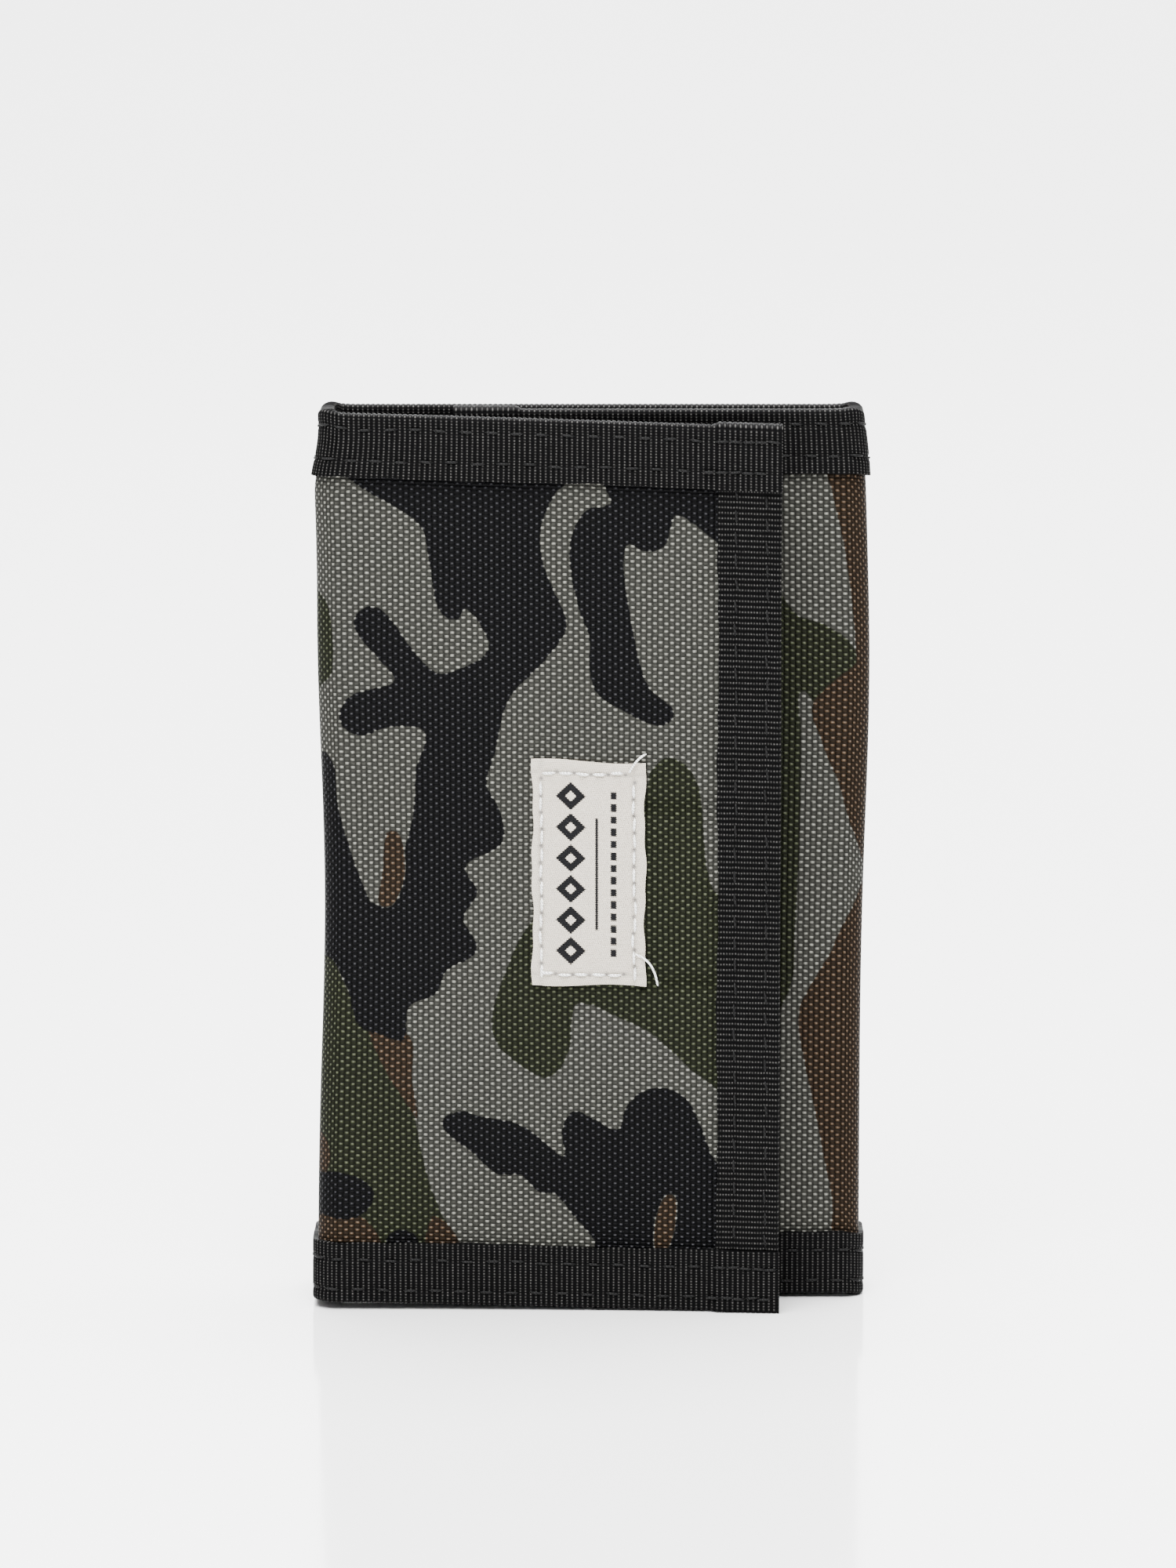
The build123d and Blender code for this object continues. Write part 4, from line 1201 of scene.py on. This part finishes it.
for side, sign in (("left", -1), ("right", 1)):
    s, z = np.meshgrid(ZIP_S - sign * np.linspace(TAPE_NEAR, TAPE_FAR, 8),
                       np.linspace(TAPE_LOW[2], TAPE_HIGH[2], 120), indexing="ij")
    depth = TAPE_DEPTH + 0.04 * np.sin(z / 3)
    tape = cloth_sheet("zip_tape_" + side + "_cloth", s, z, depth, depth + TAPE_THICK, zip_cloth)
    attach(tape, "front_flap", "zip_tape", "zip_tape_" + side)
    up = np.arange(TEETH_LOW[2] + (0.5 if sign < 0 else 0.5 + TOOTH_PITCH / 2), TEETH_HIGH[2], TOOTH_PITCH)
    centre, outward = carry(np.full(up.shape, ZIP_S - sign * TOOTH_OUT), TOOTH_DEPTH, up)
    across = np.tile([1.0, 0.0, TOOTH_LEAN * sign], (len(up), 1)) / math.hypot(1, TOOTH_LEAN)
    teeth = thread_bars("zip_teeth_" + side + "_row", centre, across, -outward, 1.9, 0.66, teeth_plastic, arch=0.18)
    attach(teeth, "front_flap", "zip_teeth", "zip_teeth_" + side)
    print(teeth.name, len(up), "teeth")
    seam_s = ZIP_S - sign * (3.3 if sign > 0 else 3.2)
    up = np.arange(COIN_LOW[2] + 5, COIN_HIGH[2] - 5, 2.6)
    seam = stitch_row("zip_seam_" + side, np.full(up.shape, seam_s), up, COIN_TOP_DEPTH + 0.02, math.pi / 2, 1.7, 0.28,
                      black_thread, inside=True)
    attach(seam, "front_flap", "pocket_cloth")

# %% Metal of slider, pull and stop
slider_metal, tree, shader = new_material("slider_metal", (0.13, 0.128, 0.125), 0.32)
shader.inputs["Metallic"].default_value = 1.0
place_xyz = put(tree, "ShaderNodeTexCoord", {}, {}).outputs["Object"]
worn = put(tree, "ShaderNodeTexNoise", {}, {"Vector": place_xyz, "Scale": 900.0, "Detail": 4.0}).outputs["Fac"]
broad = put(tree, "ShaderNodeTexNoise", {}, {"Vector": place_xyz, "Scale": 240.0, "Detail": 2.0}).outputs["Fac"]
link(tree, remap(tree, worn, 0.3, 0.7, 0.22, 0.46), shader, "Roughness")
link(tree, mix(tree, remap(tree, broad, 0.35, 0.65), (0.10, 0.098, 0.095), (0.19, 0.187, 0.18)), shader, "Base Color")
bump(tree, shader, worn, 0.25, 0.00003)
for node in ("zip_slider", "zip_pull", "zip_bottom_stop"):
    for slot in bpy.data.objects[node].material_slots:
        slot.material = slider_metal

# %% [markdown]
# ## Hook and loop tape
# The flap closes with two patches. One has rows of stiff plastic hooks, the other a soft field of loops.
# Both are the same small bar as a stitch, arched much higher: stiff, even and in rows for the hooks, and
# scattered, thinner and turned every way for the loops.

# %% Hook and loop patches
HOOK_STRIP_LOW, HOOK_STRIP_HIGH = edges_of("hook_strip")
LOOP_LOW, LOOP_HIGH = edges_of("loop_strip")
hook_cloth = plain_cloth("hook_cloth", (0.021, 0.021, 0.022), 0.5, 0.45)
hook_plastic, tree, shader = new_material("hook_plastic", (0.03, 0.03, 0.032), 0.32, specular=0.5)
link(tree, remap(tree, noise(tree, strip_axes(tree)[2], 2.0), 0.3, 0.7, 0.25, 0.42), shader, "Roughness")
loop_fibre, tree, shader = new_material("loop_fibre", (0.030, 0.030, 0.032), 0.75, sheen=0.5, specular=0.25)
tint = noise(tree, strip_axes(tree)[2], 0.5, 4.0)
link(tree, mix(tree, tint, (0.018, 0.018, 0.020), (0.048, 0.047, 0.048)), shader, "Base Color")
patches = (
    ("hook_patch", "hook_strip", "front_flap", front_strip(HOOK_STRIP_HIGH[0]), front_strip(HOOK_STRIP_LOW[0]),
     HOOK_STRIP_LOW[2], HOOK_STRIP_HIGH[2], 3.15, 3.75, hook_cloth, "hook_tape"),
    ("loop_patch", "loop_strip", "inner_flap", inner_strip(LOOP_HIGH[0]), inner_strip(LOOP_LOW[0]),
     LOOP_LOW[2] - INNER_LIFT, LOOP_HIGH[2] - INNER_LIFT, -0.25, 0.58, hook_cloth, "loop_tape"))
for name, node, body, s0, s1, z0, z1, near, far, cloth, slot in patches:
    s, z = np.meshgrid(np.linspace(s0, s1, 60), np.linspace(z0, z1, 70), indexing="ij")
    rim = np.clip(np.minimum(np.minimum(s - s0, s1 - s), np.minimum(z - z0, z1 - z)) / 1.2, 0, 1)
    worn_edge = 0.15 * (1 - rim)
    face, back = (near, far - worn_edge) if near > 0 else (near + worn_edge, far)
    patch = cloth_sheet(name, s, z, face, back, cloth)
    attach(patch, body, slot, node)
rows_s, rows_z = np.meshgrid(np.arange(patches[0][3] + 1.6, patches[0][4] - 1.3, 0.78),
                             np.arange(patches[0][5] + 1.6, patches[0][6] - 1.3, 0.95), indexing="ij")
hooks = stitch_row("hooks", rows_s.ravel(), rows_z.ravel(), 3.75, math.pi / 2, 0.72, 0.19, hook_plastic, inside=True,
                   jitter=0.03, arch=0.75)
attach(hooks, "front_flap", "hook_tape")
LOOP_COUNT = 2000
loops = stitch_row("loops", SEWING.uniform(patches[1][3] + 1.2, patches[1][4] - 1.2, LOOP_COUNT),
                   SEWING.uniform(patches[1][5] + 1.2, patches[1][6] - 1.2, LOOP_COUNT), -0.28,
                   SEWING.uniform(0, 2 * math.pi, LOOP_COUNT), 1.3, 0.14, loop_fibre, arch=0.6)
attach(loops, "inner_flap", "loop_tape")
print("hooks", rows_s.size, "loops", LOOP_COUNT)

# %% [markdown]
# ## Stage, light and camera
# The wallet stands on a plain pale floor that sweeps up behind it. One broad light above and in front
# gives the soft top light, a weak one fills from the left, and a third washes the sweep behind, so that
# it stays pale. A long lens, well back, keeps the upright edges parallel.

# %% Floor and sweep
FLOOR_ROWS, FLOOR_COLUMNS = 60, 12
FLOOR_FRONT, FLOOR_BACK, SWEEP_RADIUS, WALL = -2.0, 1.4, 0.8, 2.2
t = np.linspace(0, 1, FLOOR_ROWS)[:, None]
reach = 3.0
turn = np.clip((t - 0.55) / 0.2, 0, 1) * math.pi / 2
floor_y = np.where(t < 0.55, FLOOR_FRONT + t / 0.55 * (FLOOR_BACK - FLOOR_FRONT),
                   FLOOR_BACK + SWEEP_RADIUS * np.sin(turn))
floor_z = np.where(t < 0.55, 0, SWEEP_RADIUS * (1 - np.cos(turn))) + np.clip((t - 0.75) / 0.25, 0, 1) * WALL
side = np.linspace(-reach, reach, FLOOR_COLUMNS)[None]
stage_points = np.stack(np.broadcast_arrays(side, floor_y, floor_z), axis=-1).reshape(-1, 3) / MM
index = np.arange(FLOOR_ROWS * FLOOR_COLUMNS).reshape(FLOOR_ROWS, FLOOR_COLUMNS)
stage_quads = np.stack([index[:-1, :-1], index[:-1, 1:], index[1:, 1:], index[1:, :-1]], -1).reshape(-1, 4)
pale, tree, shader = new_material("pale_floor", (0.90, 0.90, 0.90), 0.11, specular=0.85)
floor = build("floor", stage_points, stage_quads, pale)
print("floor, m:", [round(v, 2) for v in floor.dimensions])

# %% Lights and camera
def soft_light(name, place, aim, size, power):
    """A square area light at a place, turned towards a point."""
    data = bpy.data.lights.new(name, "AREA")
    data.size, data.energy = size, power
    lamp = bpy.data.objects.new(name, data)
    lamp.location = place
    lamp.rotation_euler = (Vector(aim) - Vector(place)).to_track_quat("-Z", "Y").to_euler()
    bpy.context.scene.collection.objects.link(lamp)


CENTRE = (0, 0, 0.06)
soft_light("key", (-0.12, -0.56, 1.28), CENTRE, 1.0, 80)
soft_light("fill", (-0.4, -1.6, 0.6), CENTRE, 0.8, 5)
soft_light("back_wash", (0.1, 0.5, 1.9), (0, 1.6, 0.3), 1.4, 195)
world = bpy.data.worlds.new("studio")
world.use_nodes = True
world.node_tree.nodes["Background"].inputs["Color"].default_value = (1, 1, 1, 1)
world.node_tree.nodes["Background"].inputs["Strength"].default_value = 0.35
bpy.context.scene.world = world

ELEVATION = math.radians(10)
DISTANCE = 1.0765
aim = Vector((-0.0005, front_y * MM, 0.0742))
camera_data = bpy.data.cameras.new("camera")
camera_data.lens, camera_data.sensor_fit, camera_data.sensor_height = 180, "VERTICAL", 36
camera = bpy.data.objects.new("camera", camera_data)
camera.location = aim + DISTANCE * Vector((0, -math.cos(ELEVATION), math.sin(ELEVATION)))
camera.rotation_euler = (aim - camera.location).to_track_quat("-Z", "Y").to_euler()
bpy.context.scene.collection.objects.link(camera)
bpy.context.scene.camera = camera
print("camera, m:", [round(v, 3) for v in camera.location])
